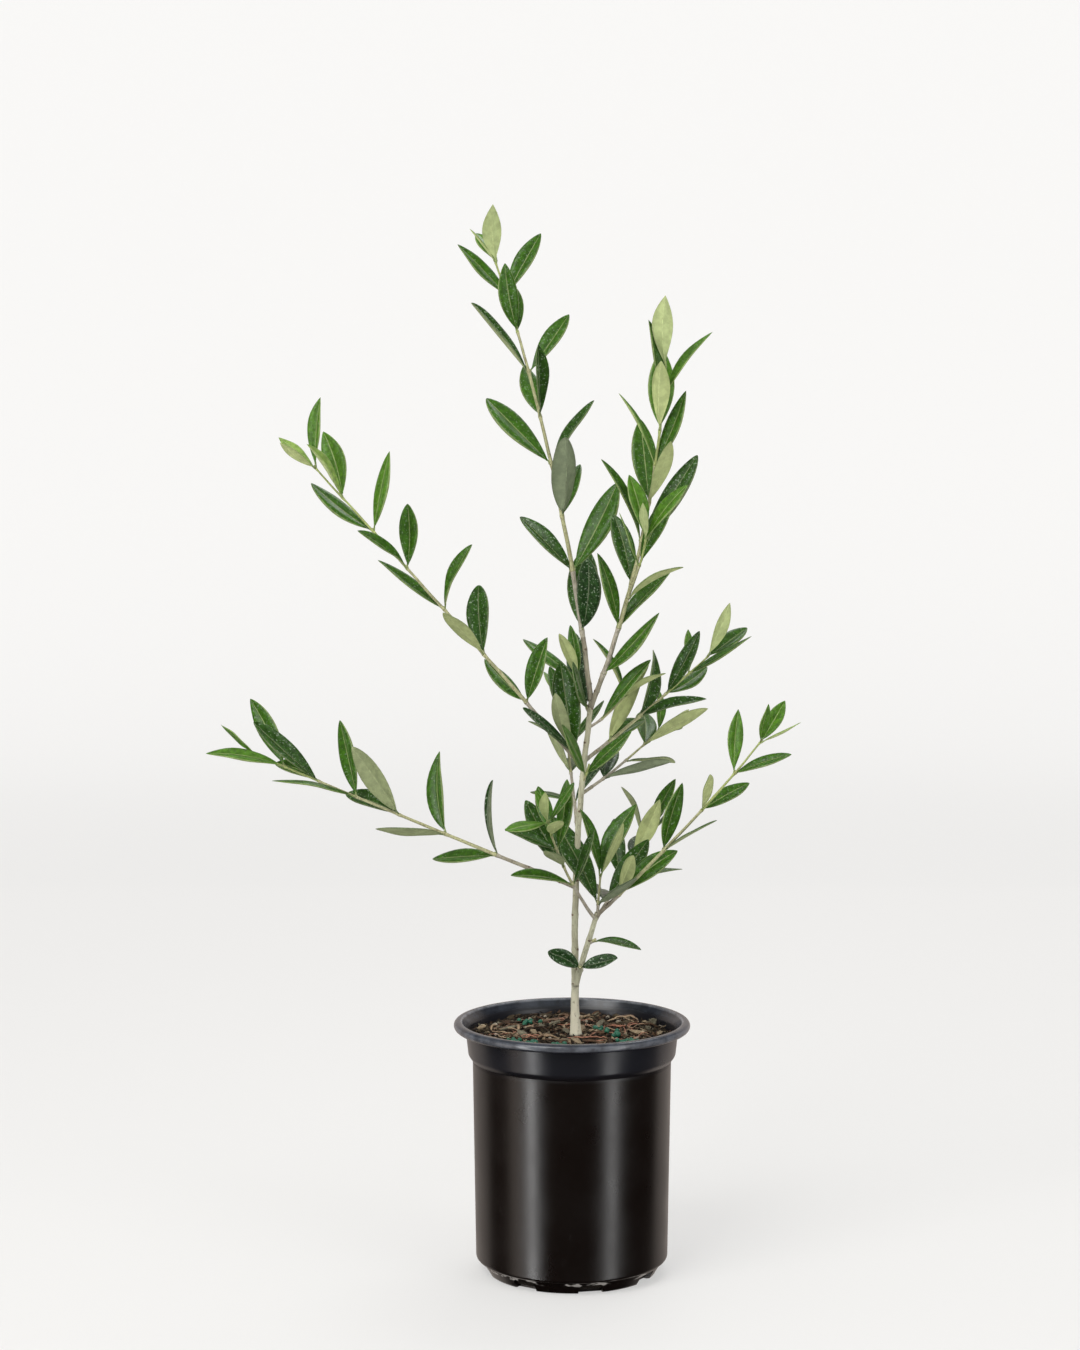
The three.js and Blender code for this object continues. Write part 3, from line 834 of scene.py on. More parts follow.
def cut(piece, cutter):
    """Takes the cutter out of the piece and removes the cutter."""
    boolean = piece.modifiers.new("drains", "BOOLEAN")
    boolean.operation = "DIFFERENCE"
    boolean.solver = "EXACT"
    boolean.object = cutter
    evaluated = piece.evaluated_get(bpy.context.evaluated_depsgraph_get())
    mesh = bpy.data.meshes.new_from_object(evaluated)
    piece.modifiers.clear()
    piece.data = mesh
    bpy.data.objects.remove(cutter)


def drain_cutter():
    """All the notches that the foot's drain holes are cut by, with rounded upper corners."""
    pile = Pile()
    half, top, corner = DRAINS["width"] / 2, DRAINS["height"], DRAINS["corner"]
    outline = [(-half, -5), (half, -5)]
    outline += arc_points(half - corner, top - corner, corner, 0, 90, 5)
    outline += arc_points(corner - half, top - corner, corner, 90, 180, 5)
    count = len(outline)
    for i in range(DRAINS["count"]):
        turn = math.radians(DRAINS["turn"] + 360 / DRAINS["count"] * i)
        out = np.array([math.cos(turn), math.sin(turn), 0])
        side = np.array([-math.sin(turn), math.cos(turn), 0])
        near, far = (POT["foot_radius"] + way * DRAINS["depth"] / 2 for way in (-1, 1))
        points = [out * reach + side * x + UP * z for reach in (near, far) for x, z in outline]
        faces = [list(range(count))[::-1], list(range(count, 2 * count))]
        faces += [[j, (j + 1) % count, count + (j + 1) % count, count + j] for j in range(count)]
        pile.add(points, faces)
    return add_object("drain_cutter", np.vstack(pile.points) * MM, pile.faces)


def make_pot():
    """The thin wall turned as one closed profile, with the drain notches cut out of its foot."""
    roll = POT["rim_height"] / 2
    edge = POT["edge"]
    profile = [
        (POT["foot_radius"] - POT["wall"] - 1, 0),
        (POT["foot_radius"] - 0.6, 0.5),
        *wall_profile(0, steps=6),
        *arc_points(POT["rim_radius"] - roll, POT["height"] - roll, roll, -90, 90, 12),
        (POT["rim_inner_radius"] + edge, POT["height"]),
        (POT["rim_inner_radius"] + 0.3 * edge, POT["height"] - 0.3 * edge),
        (POT["rim_inner_radius"], POT["height"] - edge),
        *wall_profile(POT["wall"], steps=3)[::-1],
        (POT["foot_radius"] - 2 * POT["wall"], POT["floor"]),
    ]
    rings = revolve(profile, POT["sides"])
    pile = Pile()
    pile.add(np.vstack([rings, 0 * UP, POT["floor"] * UP]), capped_faces(len(profile), POT["sides"]))
    piece = pile.make("pot_shell", [pot_finish()], "pot", ["pot"])
    cut(piece, drain_cutter())
    piece.data.shade_smooth()
    piece.data.set_sharp_from_angle(angle=math.radians(50))


# ------------------------ growing mix

MIX_RADIUS = POT["band_top_radius"] - POT["wall"] - 0.7
TREE_FOOT = np.array(LIMBS["trunk"]["start"][:2])

# The mix stops short of the wall by the gap, has sunk, is lower still at the wall, and heaps up
# at the stem. Loose pieces leave a clear ring round the stem.
MIX = dict(
    gap=0.3, sides=120, rings=60, sunk=0.4, low=2.6, low_from=0.75, heap=1.3, heap_reach=90, clear=7,
)

# Lumps, clods and crumbs in the surface: height, pitch of the noise and the layer it is read in.
MIX_WAVES = ((2.2, 0.045, 3.1), (1.1, 0.13, 7.7), (0.5, 0.42, 1.9))


def mix_height(x, y):
    """The surface of the mix: uneven, a little low at the wall on the right, and high at the stem."""
    waves = sum(rise * value_noise((x, y, layer), pitch) for rise, pitch, layer in MIX_WAVES)
    out = math.hypot(x, y) / MIX_RADIUS
    near_wall = max(0, out - MIX["low_from"]) / (1 - MIX["low_from"])
    low = MIX["low"] * near_wall * (0.35 + 0.65 * (x > 0) * out)
    from_stem = (x - TREE_FOOT[0]) ** 2 + (y - TREE_FOOT[1]) ** 2
    heap = MIX["heap"] * math.exp(-from_stem / MIX["heap_reach"])
    return SOIL_LEVEL - MIX["sunk"] + waves - low + heap


def make_mix_bed(finish):
    """The solid mix, a little smaller than the pot's inside, with the uneven surface on top."""
    bottom = POT["floor"] + MIX["gap"]
    lower = [(POT["foot_radius"] - 2 * POT["wall"] - MIX["gap"], bottom)]
    lower += [(r, h) for r, h in wall_profile(POT["wall"] + MIX["gap"], steps=2) if h < SOIL_LEVEL - 6]
    upper = [(MIX_RADIUS * (1 - i / MIX["rings"]), 0) for i in range(MIX["rings"])]
    rings = revolve(lower + upper, MIX["sides"])
    for point in rings[len(lower) * MIX["sides"]:]:
        point[2] = mix_height(point[0], point[1])
    pile = Pile()
    points = np.vstack([rings, bottom * UP, mix_height(0, 0) * UP])
    pile.add(points, capped_faces(len(lower + upper), MIX["sides"]))
    pile.make("mix_bed", [finish], "mix", ["growing_mix"])


def turned_axes(chance, tilt):
    """Three square directions: one lying within tilt degrees of level, at a chance heading."""
    heading = 2 * math.pi * chance.random()
    lean = math.radians(tilt) * chance.uniform(-1, 1)
    roll = math.radians(tilt) * chance.uniform(-1, 1)
    along = way_of(lean, heading)
    side = unit(np.cross(UP, along))
    over = np.cross(along, side)
    turned_side = side * math.cos(roll) + over * math.sin(roll)
    return np.array([along, turned_side, over * math.cos(roll) - side * math.sin(roll)])


def place_in_mix(chance, margin=2.5):
    """A chance place on the mix, clear of the stem."""
    while True:
        r = (MIX_RADIUS - margin) * math.sqrt(chance.random())
        a = 2 * math.pi * chance.random()
        x, y = r * math.cos(a), r * math.sin(a)
        if math.hypot(x - TREE_FOOT[0], y - TREE_FOOT[1]) > MIX["clear"]:
            return x, y


def scatter(chance, name, finishes, spots=None, smooth=False):
    """Rough lumps on the mix, at the places given for them or at chance ones."""
    pile = Pile()
    for count, grid, size, tilt, rough, sink, skins, *places in LOOSE[name]:
        ball_points, faces = ball(*grid)
        shown = places[0] if places else spots
        for i in range(count):
            x, y = shown[i] if shown else place_in_mix(chance)
            half = np.array([chance.uniform(low, high) for low, high in size])
            axes = turned_axes(chance, tilt)
            lump = ball_points * (1 + rough * chance.uniform(-1, 1, len(ball_points)))[:, None]
            centre = np.array([x, y, mix_height(x, y) + half[2] * (1 - sink)])
            pile.add(centre + (lump * half) @ axes, faces, skins[int(chance.integers(len(skins)))])
    pile.make(name, finishes, "mix", smooth=smooth)


# The colours of the bark in the mix.
MIX_TONES = dict(
    black=(0.02, 0.014, 0.01),
    brown=(0.075, 0.055, 0.032),
    red=(0.112, 0.062, 0.037),
    tan=(0.33, 0.255, 0.165),
    grey=(0.2, 0.18, 0.125),
)

# The prills lie in clusters of seven. Each has its cluster's middle here, and strays from it.
CLUSTERS = ((-39, -33), (-29, -43), (21, 2), (30, -10), (42, -32), (36, -40), (-8, -56), (-30, 28))
PRILLS = [middle for middle in CLUSTERS for _ in range(7)]
PRILL_STRAY = 3.4

# Loose pieces on the mix: how many, the grid of the ball they are made from, the ranges of their
# half-axes, tilt in degrees, roughness, sinking and the numbers of the finishes they are dealt.
# Two chips that the photo shows have a place.
COARSE = (4, 7)
LOOSE = dict(
    mix_crumbs=[
        (3000, (3, 5), ((0.5, 1.7), (0.5, 1.4), (0.4, 1.1)), 80, 0.35, 0.45, [0, 0, 0, 1, 1, 2]),
    ],
    mix_chips=[
        (900, COARSE, ((1.6, 6), (0.6, 1.5), (0.35, 0.8)), 36, 0.22, 0.3, 4 * [0] + 3 * [1] + [2, 2, 3, 4]),
        (34, COARSE, ((4, 8), (1.6, 3.4), (0.8, 1.7)), 22, 0.3, 0.1, [1, 1, 2, 3, 4]),
        (1, COARSE, ((5.5, 6.5), (2.4, 3.0), (1.2, 1.6)), 12, 0.25, 0, [3], [(-27, -3)]),
        (1, (7, 11), ((4.2, 5), (3.4, 4), (2.8, 3.4)), 30, 0.28, 0.3, [4], [(57, 34)]),
    ],
    mix_prills=[
        (len(PRILLS), (8, 12), ((1.5, 2.0), (1.45, 1.9), (1.4, 1.8)), 40, 0.03, -0.7, [0]),
    ],
    mix_flecks=[
        (34, COARSE, ((1.0, 2.6), (0.8, 1.8), (0.5, 1.3)), 40, 0.3, 0.1, [0]),
    ],
)


def make_mix_pieces():
    """The mix bed and all that lies loose on it, from one run of chances."""
    chance = np.random.default_rng(31)
    tones = [mix_finish(f"bark_chip_{name}", colour) for name, colour in MIX_TONES.items()]
    make_mix_bed(mix_finish("peat", (0.022, 0.015, 0.01), grain=700, depth=1.2))
    scatter(chance, "mix_crumbs", tones[:3])
    scatter(chance, "mix_chips", tones)
    spots = [[axis + chance.normal(0, PRILL_STRAY) for axis in middle] for middle in PRILLS]
    scatter(chance, "mix_prills", [prill_finish()], spots, smooth=True)
    scatter(chance, "mix_flecks", [mix_finish("pale_fleck", (0.45, 0.39, 0.31))])
    make_mix_roots(chance)
    make_mix_shreds(chance)


# Roots that lie on top of the mix: the finish, start, heading in degrees, turn at each step in
# degrees, number of steps and radius.
ROOTS = (
    (0, (20, 33), -62, 2.2, 24, 0.6),
    (0, (-4, -17), -20, 0.6, 20, 0.5),
    (0, (22, 24), -12, -1.4, 18, 0.42),
    (1, (34, 50), 20, -9, 12, 0.7),
    (2, (30, 58), 10, -8, 12, 0.8),
    (1, (26, 40), 30, -10, 11, 0.6),
    (2, (-50, 10), 60, -5, 15, 0.5),
    (1, (-44, 24), 48, 1, 13, 0.35),
    (0, (40, -20), 25, 5, 11, 0.4),
    (2, (-20, 34), 5, 4, 14, 0.6),
)
ROOT = dict(step=2.2, lift=0.8, arch=1.5, least_steps=5, margin=2, more=40)
SHRED = dict(step=1.9, lift=1.2, arch=1.6, count=30, sides=8, thinnest=0.22, end=0.35)


def lay_root(pile, chance, place, heading, turn, wander, steps, radius, skin):
    """A root that bends by turn at each step, in radians, and strays by wander."""
    x, y = place
    route = []
    for step in range(steps):
        if math.hypot(x, y) > MIX_RADIUS - ROOT["margin"]:
            break
        arch = math.sin(math.pi * step / (steps - 1)) * chance.uniform(0.7, 1.3)
        route.append((x, y, mix_height(x, y) + ROOT["lift"] + ROOT["arch"] * arch))
        turn += chance.uniform(-wander, wander)
        heading += turn
        x += ROOT["step"] * math.cos(heading)
        y += ROOT["step"] * math.sin(heading)
    if len(route) >= ROOT["least_steps"]:
        taper = np.linspace(1, 0.4, len(route))[:, None]
        add_tube(pile, np.array(route), radius * taper * np.ones((1, 6)), skin)


def make_mix_roots(chance):
    """Fine loose roots that wander over the mix."""
    pile = Pile()
    for skin, place, heading, turn, steps, radius in ROOTS:
        lay_root(pile, chance, place, math.radians(heading), math.radians(turn), 0.03, steps, radius, skin)
    for i in range(ROOT["more"]):
        place = place_in_mix(chance, margin=8)
        heading = 2 * math.pi * chance.random()
        turn = chance.uniform(-0.16, 0.16)
        steps = int(chance.integers(8, 22))
        lay_root(pile, chance, place, heading, turn, 0.12, steps, chance.uniform(0.2, 0.5), i % 3)
    finishes = [
        stem_finish("root_red", (0.42, 0.19, 0.12)),
        stem_finish("root_tan", (0.42, 0.3, 0.19)),
        stem_finish("root_brown", (0.17, 0.105, 0.065)),
    ]
    pile.make("mix_roots", finishes, "mix")


def make_mix_shreds(chance):
    """Flat curved shreds of bark, pointed at both ends."""
    pile = Pile()
    flatness = np.abs(np.cos(ring_angles(SHRED["sides"])))[None] ** 1.5
    flat = SHRED["thinnest"] + (1 - SHRED["thinnest"]) * flatness
    for i in range(SHRED["count"]):
        x, y = place_in_mix(chance, margin=12)
        heading = 2 * math.pi * chance.random()
        turn = chance.uniform(-0.2, 0.2)
        steps = int(chance.integers(7, 14))
        route = []
        for step in range(steps):
            arch = math.sin(math.pi * step / (steps - 1))
            route.append((x, y, mix_height(x, y) + SHRED["lift"] + SHRED["arch"] * arch))
            heading += turn
            x += SHRED["step"] * math.cos(heading)
            y += SHRED["step"] * math.sin(heading)
        swell = np.sin(np.linspace(SHRED["end"], math.pi - SHRED["end"], steps))[:, None]
        add_tube(pile, np.array(route), chance.uniform(0.8, 1.6) * swell * flat, i % 3)
    finishes = [
        mix_finish("shred_brown", (0.14, 0.08, 0.048)),
        mix_finish("shred_tan", (0.34, 0.24, 0.15)),
        mix_finish("shred_dark", (0.06, 0.038, 0.025)),
    ]
    pile.make("mix_shreds", finishes, "mix")


# ------------------------ bark

# Knots and old leaf scars come at a spacing, the first pair of scars turned by so many degrees.
# The collar, ridges and grain are shares of the radius.
BARK = dict(
    row=1.6,
    collar=0.3,
    collar_reach=3.5,
    ridge=0.1,
    grain=0.05,
    knot=0.22,
    knot_reach=1.8,
    spacing=24,
    first_scar=40,
    trunk_sides=22,
    bough_sides=14,
    overlap=0.6,
)


def bark_rows(limb, end, sides):
    """Points, ways and radii of a limb's bark up to a distance."""
    points, ways, radii = [], [], []
    flared = limb.size["flared"]
    for distance in np.linspace(0, end, max(6, int(end / BARK["row"]))):
        points.append(limb.strayed(distance))
        ways.append(UP if flared and distance < 1 else limb.at(distance)[1])
        collar = 0 if flared else BARK["collar"] * math.exp(-distance / BARK["collar_reach"])
        radius = limb.radius_at(distance) * (1 + collar)
        from_knot = distance % BARK["spacing"] - BARK["spacing"] / 2
        knot = BARK["knot"] * math.exp(-(from_knot / BARK["knot_reach"]) ** 2)
        ring = []
        for angle in ring_angles(sides):
            x, y = math.cos(angle), math.sin(angle)
            ridges = value_noise((x * 1.7, y * 1.7, distance * 0.05 + limb.seed), 1.0)
            grain = value_noise((x * 4, y * 4, distance * 0.22 + limb.seed), 1.0)
            ring.append(radius * (1 + BARK["ridge"] * ridges + BARK["grain"] * grain) + knot)
        radii.append(ring)
    return np.array(points), np.array(ways), np.array(radii)


def add_scar(pile, centre, outward, along, size):
    """A small rounded pad where an old leaf stood."""
    shape, faces = ball(6, 10)
    side = np.cross(along, outward)
    axes = np.array([side, along, outward]) * np.array([[size], [size * 0.8], [size * 0.42]])
    pile.add(centre + shape @ axes, faces)


def make_bark():
    """Bark for the stems without leaves and for the leafless foot of each shoot, and leaf scars."""
    trunk_bark = bark_finish("trunk_bark", (0.42, 0.42, 0.3), (0.27, 0.23, 0.16), 330, (0.66, 0.62, 0.49))
    bough_bark = bark_finish("bough_bark", (0.31, 0.29, 0.215), (0.15, 0.115, 0.085), 420)
    scars = Pile()
    for limb in limbs.values():
        end = limb.size["bare"] if limb.pairs else limb.length
        if end <= 0:
            continue
        if limb.pairs:
            node, finish = f"{limb.name}_bough", bough_bark
            points, ways, radii = bark_rows(limb, end + BARK["overlap"], BARK["bough_sides"])
        else:
            node, finish = limb.name, trunk_bark
            points, ways, radii = bark_rows(limb, end, BARK["trunk_sides"])
        pile = Pile()
        add_tube(pile, points, radii, ways=ways)
        pile.make(f"{node}_bark", [finish], "bark", [node])
        for turn, distance in enumerate(np.arange(BARK["spacing"] / 2, end - 3, BARK["spacing"])):
            reach = limb.radius_at(distance)
            for side in (0, 1):
                stem, outward = spoke_at(limb, distance, BARK["first_scar"] + 90 * turn + 180 * side)
                add_scar(scars, limb.strayed(distance) + outward * reach, outward, stem, 0.5 + 0.28 * reach)
    scars.make("leaf_scars", [bark_finish("scar", (0.17, 0.12, 0.08), (0.07, 0.045, 0.03), 700)], "bark")


# ------------------------ twigs

# A twig starts a little inside the bark, and its square section swells at each pair of leaves.
TWIG = dict(sides=10, row=1.2, squareness=0.06, swelling=0.34, swelling_reach=1.5, overlap=1.5)
BUD = dict(radius=0.5, half_length=1.1, stand_off=0.35, rise=1.5)


def stem_tone(limb, distance):
    """The number of the stem finish at this distance: old, half ripe or young."""
    ripeness = limb.size["youth"] + 0.75 * distance / limb.length
    return sum(ripeness >= step for step in (0.5, 0.88))


def make_twigs():
    """The leafy part of each shoot, in stretches from one pair of leaves to the next."""
    pile = Pile()
    square = 1 + TWIG["squareness"] * np.cos(4 * ring_angles(TWIG["sides"]))
    leafy = [limb for limb in limbs.values() if limb.pairs]
    for limb in leafy:
        nodes = [limb.pair_at(pair) for pair in range(limb.pairs)]
        start = max(0, limb.size["bare"] - TWIG["overlap"])
        stops = sorted({start, *[node for node in nodes if node > start + 1], limb.length})
        for low, high in zip(stops, stops[1:]):
            distances = np.linspace(low, high, max(3, int((high - low) / TWIG["row"])))
            radii = []
            for distance in distances:
                swell = sum(math.exp(-((distance - node) / TWIG["swelling_reach"]) ** 2) for node in nodes)
                radii.append((limb.radius_at(distance) + TWIG["swelling"] * swell) * square)
            points = np.array([limb.strayed(distance) for distance in distances])
            ways = np.array([limb.at(distance)[1] for distance in distances])
            add_tube(pile, points, np.array(radii), stem_tone(limb, (low + high) / 2), ways)
    finishes = [
        stem_finish("stem_old", (0.34, 0.315, 0.25)),
        stem_finish("stem_half_ripe", (0.37, 0.37, 0.2)),
        stem_finish("stem_young", (0.36, 0.42, 0.15)),
    ]
    pile.make("twigs", finishes, "leaf", [f"{limb.name}_foliage" for limb in leafy])


def make_buds():
    """A small pointed bud in each leaf's axil."""
    pile = Pile()
    shape, faces = ball(6, 8)
    for leaf in all_leaves:
        outward = unit(leaf.way - leaf.stem * (leaf.way @ leaf.stem))
        centre = leaf.root + outward * (leaf.stem_radius + BUD["stand_off"]) + leaf.stem * BUD["rise"]
        side = np.cross(leaf.stem, outward)
        axes = np.array([side * BUD["radius"], outward * BUD["radius"], leaf.stem * BUD["half_length"]])
        pile.add(centre + shape @ axes, faces)
    pile.make("axil_buds", [stem_finish("bud_scale", (0.24, 0.27, 0.12))], "leaf")


# ------------------------ leaves

# Name, colour of the upper face, strength of its pale dots, colour of the underside.
LEAF_TONES = (
    ("deep", (0.015, 0.047, 0.010), 0.8, (0.205, 0.245, 0.15)),
    ("dark", (0.024, 0.074, 0.006), 0.55, (0.28, 0.32, 0.165)),
    ("mid", (0.035, 0.105, 0.005), 0.3, (0.37, 0.42, 0.185)),
    ("fresh", (0.065, 0.165, 0.011), 0.15, (0.42, 0.48, 0.21)),
    ("young", (0.2, 0.31, 0.065), 0.0, (0.43, 0.5, 0.23)),
)
# The youth at which each tone after the first begins.
TONE_STEPS = (0.12, 0.34, 0.6, 0.81)

BLADE = dict(
    length=0.985,
    thickness=0.42,
    thinning=0.5,
    groove=0.12,
    ridge=0.4,
    rib_reach=0.075,
    droop=3.2,
    droop_from=0.72,
    petiole_radius=0.62,
    petiole_end=0.1,
)
# Fold and twist are in degrees, bow is a share of the length, and phase is in turns.
BLADE_CHANCES = dict(
    fullness=(0.5, 0.14),
    tip=(1, 0.22),
    fold=(4, 36),
    twist=(-28, 56),
    bow=(-0.045, 0.09),
    ripple=(0, 0.55),
    phase=(0, 1),
)
COLUMNS = np.array([-1, -0.92, -0.7, -0.43, -0.17, -0.045, 0.045, 0.17, 0.43, 0.7, 0.92, 1])
ROWS = 18
SKIN = dict(upper=0, under=1, rib=2, back_rib=3, margin=4)


def tone_of(leaf):
    """The leaf's tone, from its limb's youth, its place on the limb and its own draw."""
    youth = leaf.limb.size["youth"] + 0.42 * leaf.share ** 2 + 0.4 * (leaf.tone - 0.5)
    return sum(youth > step for step in TONE_STEPS)


def outline(share, fullness, tip):
    """Half the blade's width at a share of its length, as a share of its widest."""
    past = np.clip((share - LEAF["petiole"]) / (1 - LEAF["petiole"]), 0, 1)
    swell = np.maximum(np.sin(np.pi * past ** tip), 0) ** fullness
    return np.maximum(swell, LEAF["petiole_width"] * (1 - share) + 0.012)


def blade_frame(leaf, share, twist):
    """The blade's side and upper directions at each share of its length, turned by the twist."""
    turn = (twist * (share - 0.25))[:, None]
    side = leaf.across * np.cos(turn) + leaf.face * np.sin(turn)
    upper = leaf.face * np.cos(turn) - leaf.across * np.sin(turn)
    return side, upper


def blade_faces():
    """The faces of a blade, whose upper points come first, and the skin of each."""
    columns = len(COLUMNS)
    count = ROWS * columns
    sides = []
    for row in range(ROWS - 1):
        left = row * columns
        right = left + columns - 1
        sides.append([left, count + left, count + left + columns, left + columns])
        sides.append([right, right + columns, count + right + columns, count + right])
    for column in range(columns - 1):
        tip = (ROWS - 1) * columns + column
        sides.append([column, column + 1, count + column + 1, count + column])
        sides.append([tip, count + tip, count + tip + 1, tip + 1])
    top_skins = np.full(columns - 1, SKIN["upper"])
    top_skins[[0, -1]] = SKIN["margin"]
    top_skins[columns // 2 - 1] = SKIN["rib"]
    bottom_skins = np.full(columns - 1, SKIN["under"])
    bottom_skins[columns // 2 - 1] = SKIN["back_rib"]
    skins = np.concatenate([np.tile(top_skins, ROWS - 1), np.tile(bottom_skins, ROWS - 1)]).tolist()
    faces = [*grid_faces(ROWS, columns, flipped=True), *grid_faces(ROWS, columns) + count, *sides]
    return faces, skins + [SKIN["margin"]] * len(sides)


def add_leaf(pile, leaf, tone, draw):
    """One leaf. An older one, of a lower tone, is blunter. Folding it leaves it about as wide."""
    drawn = measures_from(BLADE_CHANCES, draw)
    fullness = drawn("fullness") + 0.085 * tone
    tip = drawn("tip")
    fold = math.radians(drawn("fold"))
    twist = math.radians(drawn("twist"))
    bow = leaf.length * drawn("bow")
    ripple = drawn("ripple")
    phase = 2 * math.pi * drawn("phase")
    length = leaf.length * BLADE["length"]

    spacing = np.linspace(0, 1, ROWS)
    share = LEAF["petiole"] + (1 - LEAF["petiole"]) * (0.5 - 0.5 * np.cos(np.pi * spacing ** 1.1))
    half = (leaf.width / 2 * outline(share, fullness, tip) / math.cos(fold) ** 0.8)[:, None]
    side, upper = blade_frame(leaf, share, twist)
    share = share[:, None]
    spine = leaf.root + length * share * leaf.way - length * leaf.curl / 2 * share ** 2 * leaf.face
    spine = spine + bow * 4 * share * (1 - share) * leaf.across

    u = COLUMNS[None]
    across = u * half * math.cos(fold)
    lift = np.abs(u) * half * math.sin(fold)
    lift = lift - BLADE["droop"] * half * np.maximum(np.abs(u) - BLADE["droop_from"], 0) ** 2
    lift = lift + ripple * np.sin(phase + 9 * share) * u ** 2 * half / half.max()
    near_rib = np.exp(-(u / BLADE["rib_reach"]) ** 2)
    thick = BLADE["thickness"] / 2 * (1 - BLADE["thinning"] * u ** 2) * np.minimum(1, half / 1.2)
    above = lift + thick - BLADE["groove"] * near_rib * np.minimum(1, half / 2)
    below = lift - thick - BLADE["ridge"] * near_rib * (1 - share ** 2)

    def skin(heights):
        return spine[:, None] + across[..., None] * side[:, None] + heights[..., None] * upper[:, None]

    faces, skins = BLADE_FACES
    pile.add(np.concatenate([skin(above), skin(below)]), faces, skins)
    stalk_share = np.linspace(0.01, BLADE["petiole_end"], 6)[:, None]
    stalk = leaf.root + length * stalk_share * leaf.way - BLADE["petiole_radius"] * 0.35 * leaf.face
    taper = np.linspace(1.15, 0.6, len(stalk))[:, None]
    radii = BLADE["petiole_radius"] * taper * np.ones((1, 8))
    add_tube(pile, stalk, radii, SKIN["rib"], np.repeat(leaf.way[None], len(stalk), axis=0))


BLADE_FACES = blade_faces()


def make_leaves():
    """All leaves, sorted into one piece for each tone."""
    draw = random_from(5)
    piles = [Pile() for _ in LEAF_TONES]
    nodes = [set() for _ in LEAF_TONES]
    for leaf in all_leaves:
        tone = tone_of(leaf)
        add_leaf(piles[tone], leaf, tone, draw)
        nodes[tone].add(f"{leaf.limb.name}_foliage")
    for (name, upper, dotted, under), pile, stood_for in zip(LEAF_TONES, piles, nodes):
        finishes = [
            upper_finish(f"leaf_{name}_upper", upper, dotted),
            under_finish(f"leaf_{name}_under", under),
            stem_finish(f"leaf_{name}_rib", between(upper, under, 0.5)),
            stem_finish(f"leaf_{name}_back_rib", shaded(under, 1.2)),
            stem_finish(f"leaf_{name}_margin", between(upper, under, 0.4)),
        ]
        pile.make(f"leaves_{name}", finishes, "leaf", sorted(stood_for))


# ------------------------ stage, light and camera

# In metres. The paper glows a little, so that it looks evenly pale near the lamps and far off.
SWEEP = dict(
    floor_radius=3.0,
    bend=2.2,
    top=5.0,
    gap=0.0002,
    sides=96,
    colour=(0.35, 0.347, 0.343),
    glow_colour=(1.0, 0.995, 0.985),
    floor_glow=0.46,
    wall_glow=0.65,
    glow_from=0.8,
    glow_to=4.6,
)

CROWN = (0, 0, 0.4)

# Name, place, size, watts and colour of each lamp. All of them point at the crown.
LAMPS = (
    ("key", (-1.1, -1.5, 2.0), (1.5, 1.5), 40, (1, 0.985, 0.955)),
    ("fill", (1.7, -1.5, 1.2), (1.2, 1.2), 11, (1, 1, 1)),
    ("back", (0.5, 1.2, 2.1), (1.2, 0.8), 12, (1, 1, 1)),
)

# Upright cards for the pot's gloss: name, azimuth in degrees, distance, width, lowest and highest
# edge, strength and colour.
CARDS = (
    ("left_card", -138, 1.3, 0.2, -1.2, 0.55, 11, (1, 1, 1)),
    ("left_halo", -158, 1.35, 0.4, -1.2, 0.55, 1.4, (1, 0.86, 0.76)),
    ("right_card", -43.5, 1.3, 0.28, -1.2, 0.55, 5.2, (1, 1, 1)),
    ("back_card", 90, 1.7, 7.0, -2.5, 1.5, 0.6, (1, 0.88, 0.8)),
)
SKY = dict(half=2.6, height=2.4, strength=0.4, colour=(0.93, 0.97, 1))
ROOM = dict(strength=0.5, colour=(1, 0.995, 0.985))


def make_stage():
    """A seamless pale round sweep: a level floor that curves up into a wall all the way round."""
    bend = SWEEP["bend"]
    profile = arc_points(SWEEP["floor_radius"], bend, bend, -90, 0, 23)
    profile.append((SWEEP["floor_radius"] + bend, SWEEP["top"]))
    points = np.vstack([revolve(profile, SWEEP["sides"]), 0 * UP]) - UP * SWEEP["gap"]
    faces = grid_faces(len(profile), SWEEP["sides"], closed=True, flipped=True).tolist()
    faces += [[i, (i + 1) % SWEEP["sides"], len(points) - 1] for i in range(SWEEP["sides"])]
    finish = Finish("pale_paper", 0.9, specular=0.1)
    finish.shade("Base Color", SWEEP["colour"])
    finish.shade("Emission Color", SWEEP["glow_colour"])
    reach = (SWEEP["glow_from"], SWEEP["glow_to"])
    glow = finish.spread(finish.from_axis(), *reach, SWEEP["floor_glow"], SWEEP["wall_glow"])
    finish.shade("Emission Strength", glow)
    sweep = add_object("pale_sweep", points, faces, [finish.material])
    sweep.data.polygons.foreach_set("use_smooth", [True] * len(faces))
    sweep.visible_glossy = False


def add_light(name, place, size, watts, colour):
    lamp = bpy.data.lights.new(name, "AREA")
    lamp.shape = "RECTANGLE"
    lamp.size, lamp.size_y = size
    lamp.energy = watts
    lamp.color = colour
    light = link(name, lamp)
    light.location = place
    way = Vector(CROWN) - Vector(place)
    light.rotation_euler = way.to_track_quat("-Z", "Y").to_euler()
    light.visible_camera = False


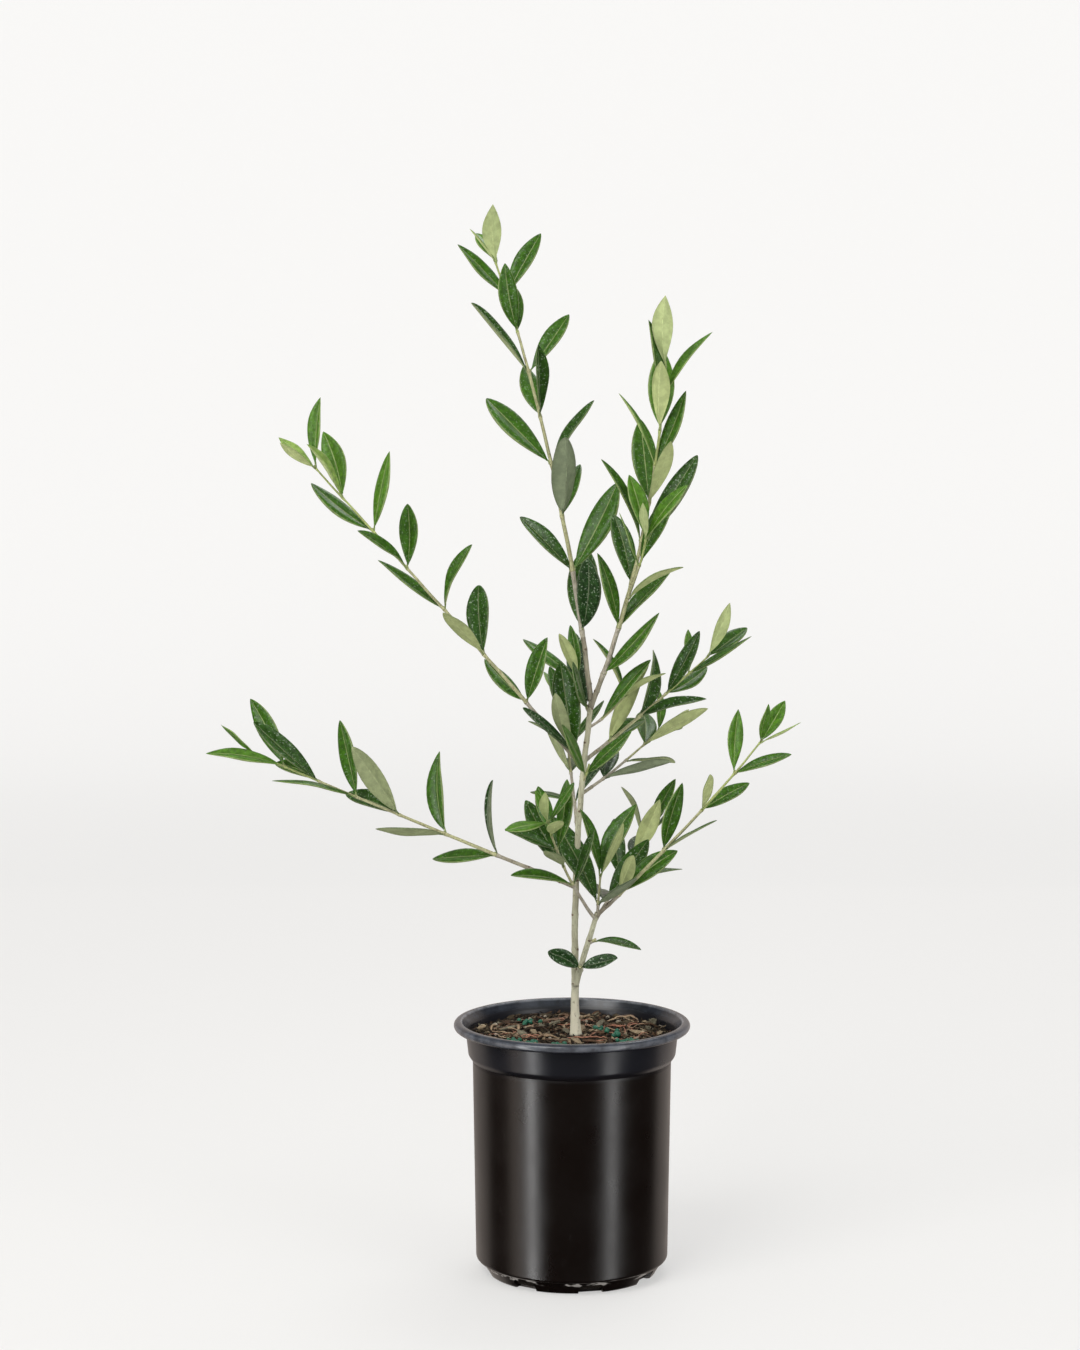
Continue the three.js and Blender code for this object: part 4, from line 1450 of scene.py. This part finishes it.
def upright(azimuth, distance, width, low, high):
    """The corners of an upright card that faces the pot."""
    turn = math.radians(azimuth)
    middle = np.array([distance * math.cos(turn), distance * math.sin(turn)])
    side = np.array([-math.sin(turn), math.cos(turn)]) * width / 2
    return [(*(middle + side * way), z) for way, z in ((-1, low), (1, low), (1, high), (-1, high))]


def add_card(name, corners, strength, colour):
    """A glowing card that shows only in reflections."""
    finish = Finish(name, 0.5, specular=0)
    finish.shade("Base Color", (0, 0, 0))
    finish.shade("Emission Color", colour)
    finish.shade("Emission Strength", strength)
    card = add_object(name, corners, [tuple(range(len(corners)))], [finish.material])
    card.visible_camera = False
    card.visible_diffuse = False
    card.visible_shadow = False
    card.visible_transmission = False


def make_lights():
    """A key from the left, a weaker fill and a back light, in a pale room, and the cards."""
    for lamp in LAMPS:
        add_light(*lamp)
    for name, *place, strength, colour in CARDS:
        add_card(name, upright(*place), strength, colour)
    square = np.array([(-1, -1), (1, -1), (1, 1), (-1, 1)]) * SKY["half"]
    add_card("sky_card", [(*corner, SKY["height"]) for corner in square], SKY["strength"], SKY["colour"])
    world = bpy.data.worlds.new("soft_room")
    world.use_nodes = True
    background = world.node_tree.nodes["Background"]
    background.inputs["Color"].default_value = (*ROOM["colour"], 1)
    background.inputs["Strength"].default_value = ROOM["strength"]
    world.cycles_visibility.glossy = False
    bpy.context.scene.world = world
    bpy.context.scene.view_settings.view_transform = "Standard"


# The camera stands this far in front of the pot and looks down by its pitch. The focal distance
# in pixels is for an image 1350 pixels high.
CAMERA = dict(distance=1.85, sideways=-0.0223, height=0.566, pitch=4.55, focal=2685)
IMAGE_HEIGHT = 1350


def make_camera():
    """The photo's view."""
    data = bpy.data.cameras.new("photo_view")
    data.sensor_width = 36
    data.lens = data.sensor_width * CAMERA["focal"] / IMAGE_HEIGHT
    camera = link("photo_view", data)
    camera.location = (CAMERA["sideways"], -CAMERA["distance"], CAMERA["height"])
    camera.rotation_euler = (math.radians(90 - CAMERA["pitch"]), 0, 0)
    bpy.context.scene.camera = camera


make_camera()
make_lights()
make_stage()
make_pot()
make_mix_pieces()
make_bark()
make_twigs()
make_buds()
make_leaves()

bpy.context.view_layer.update()
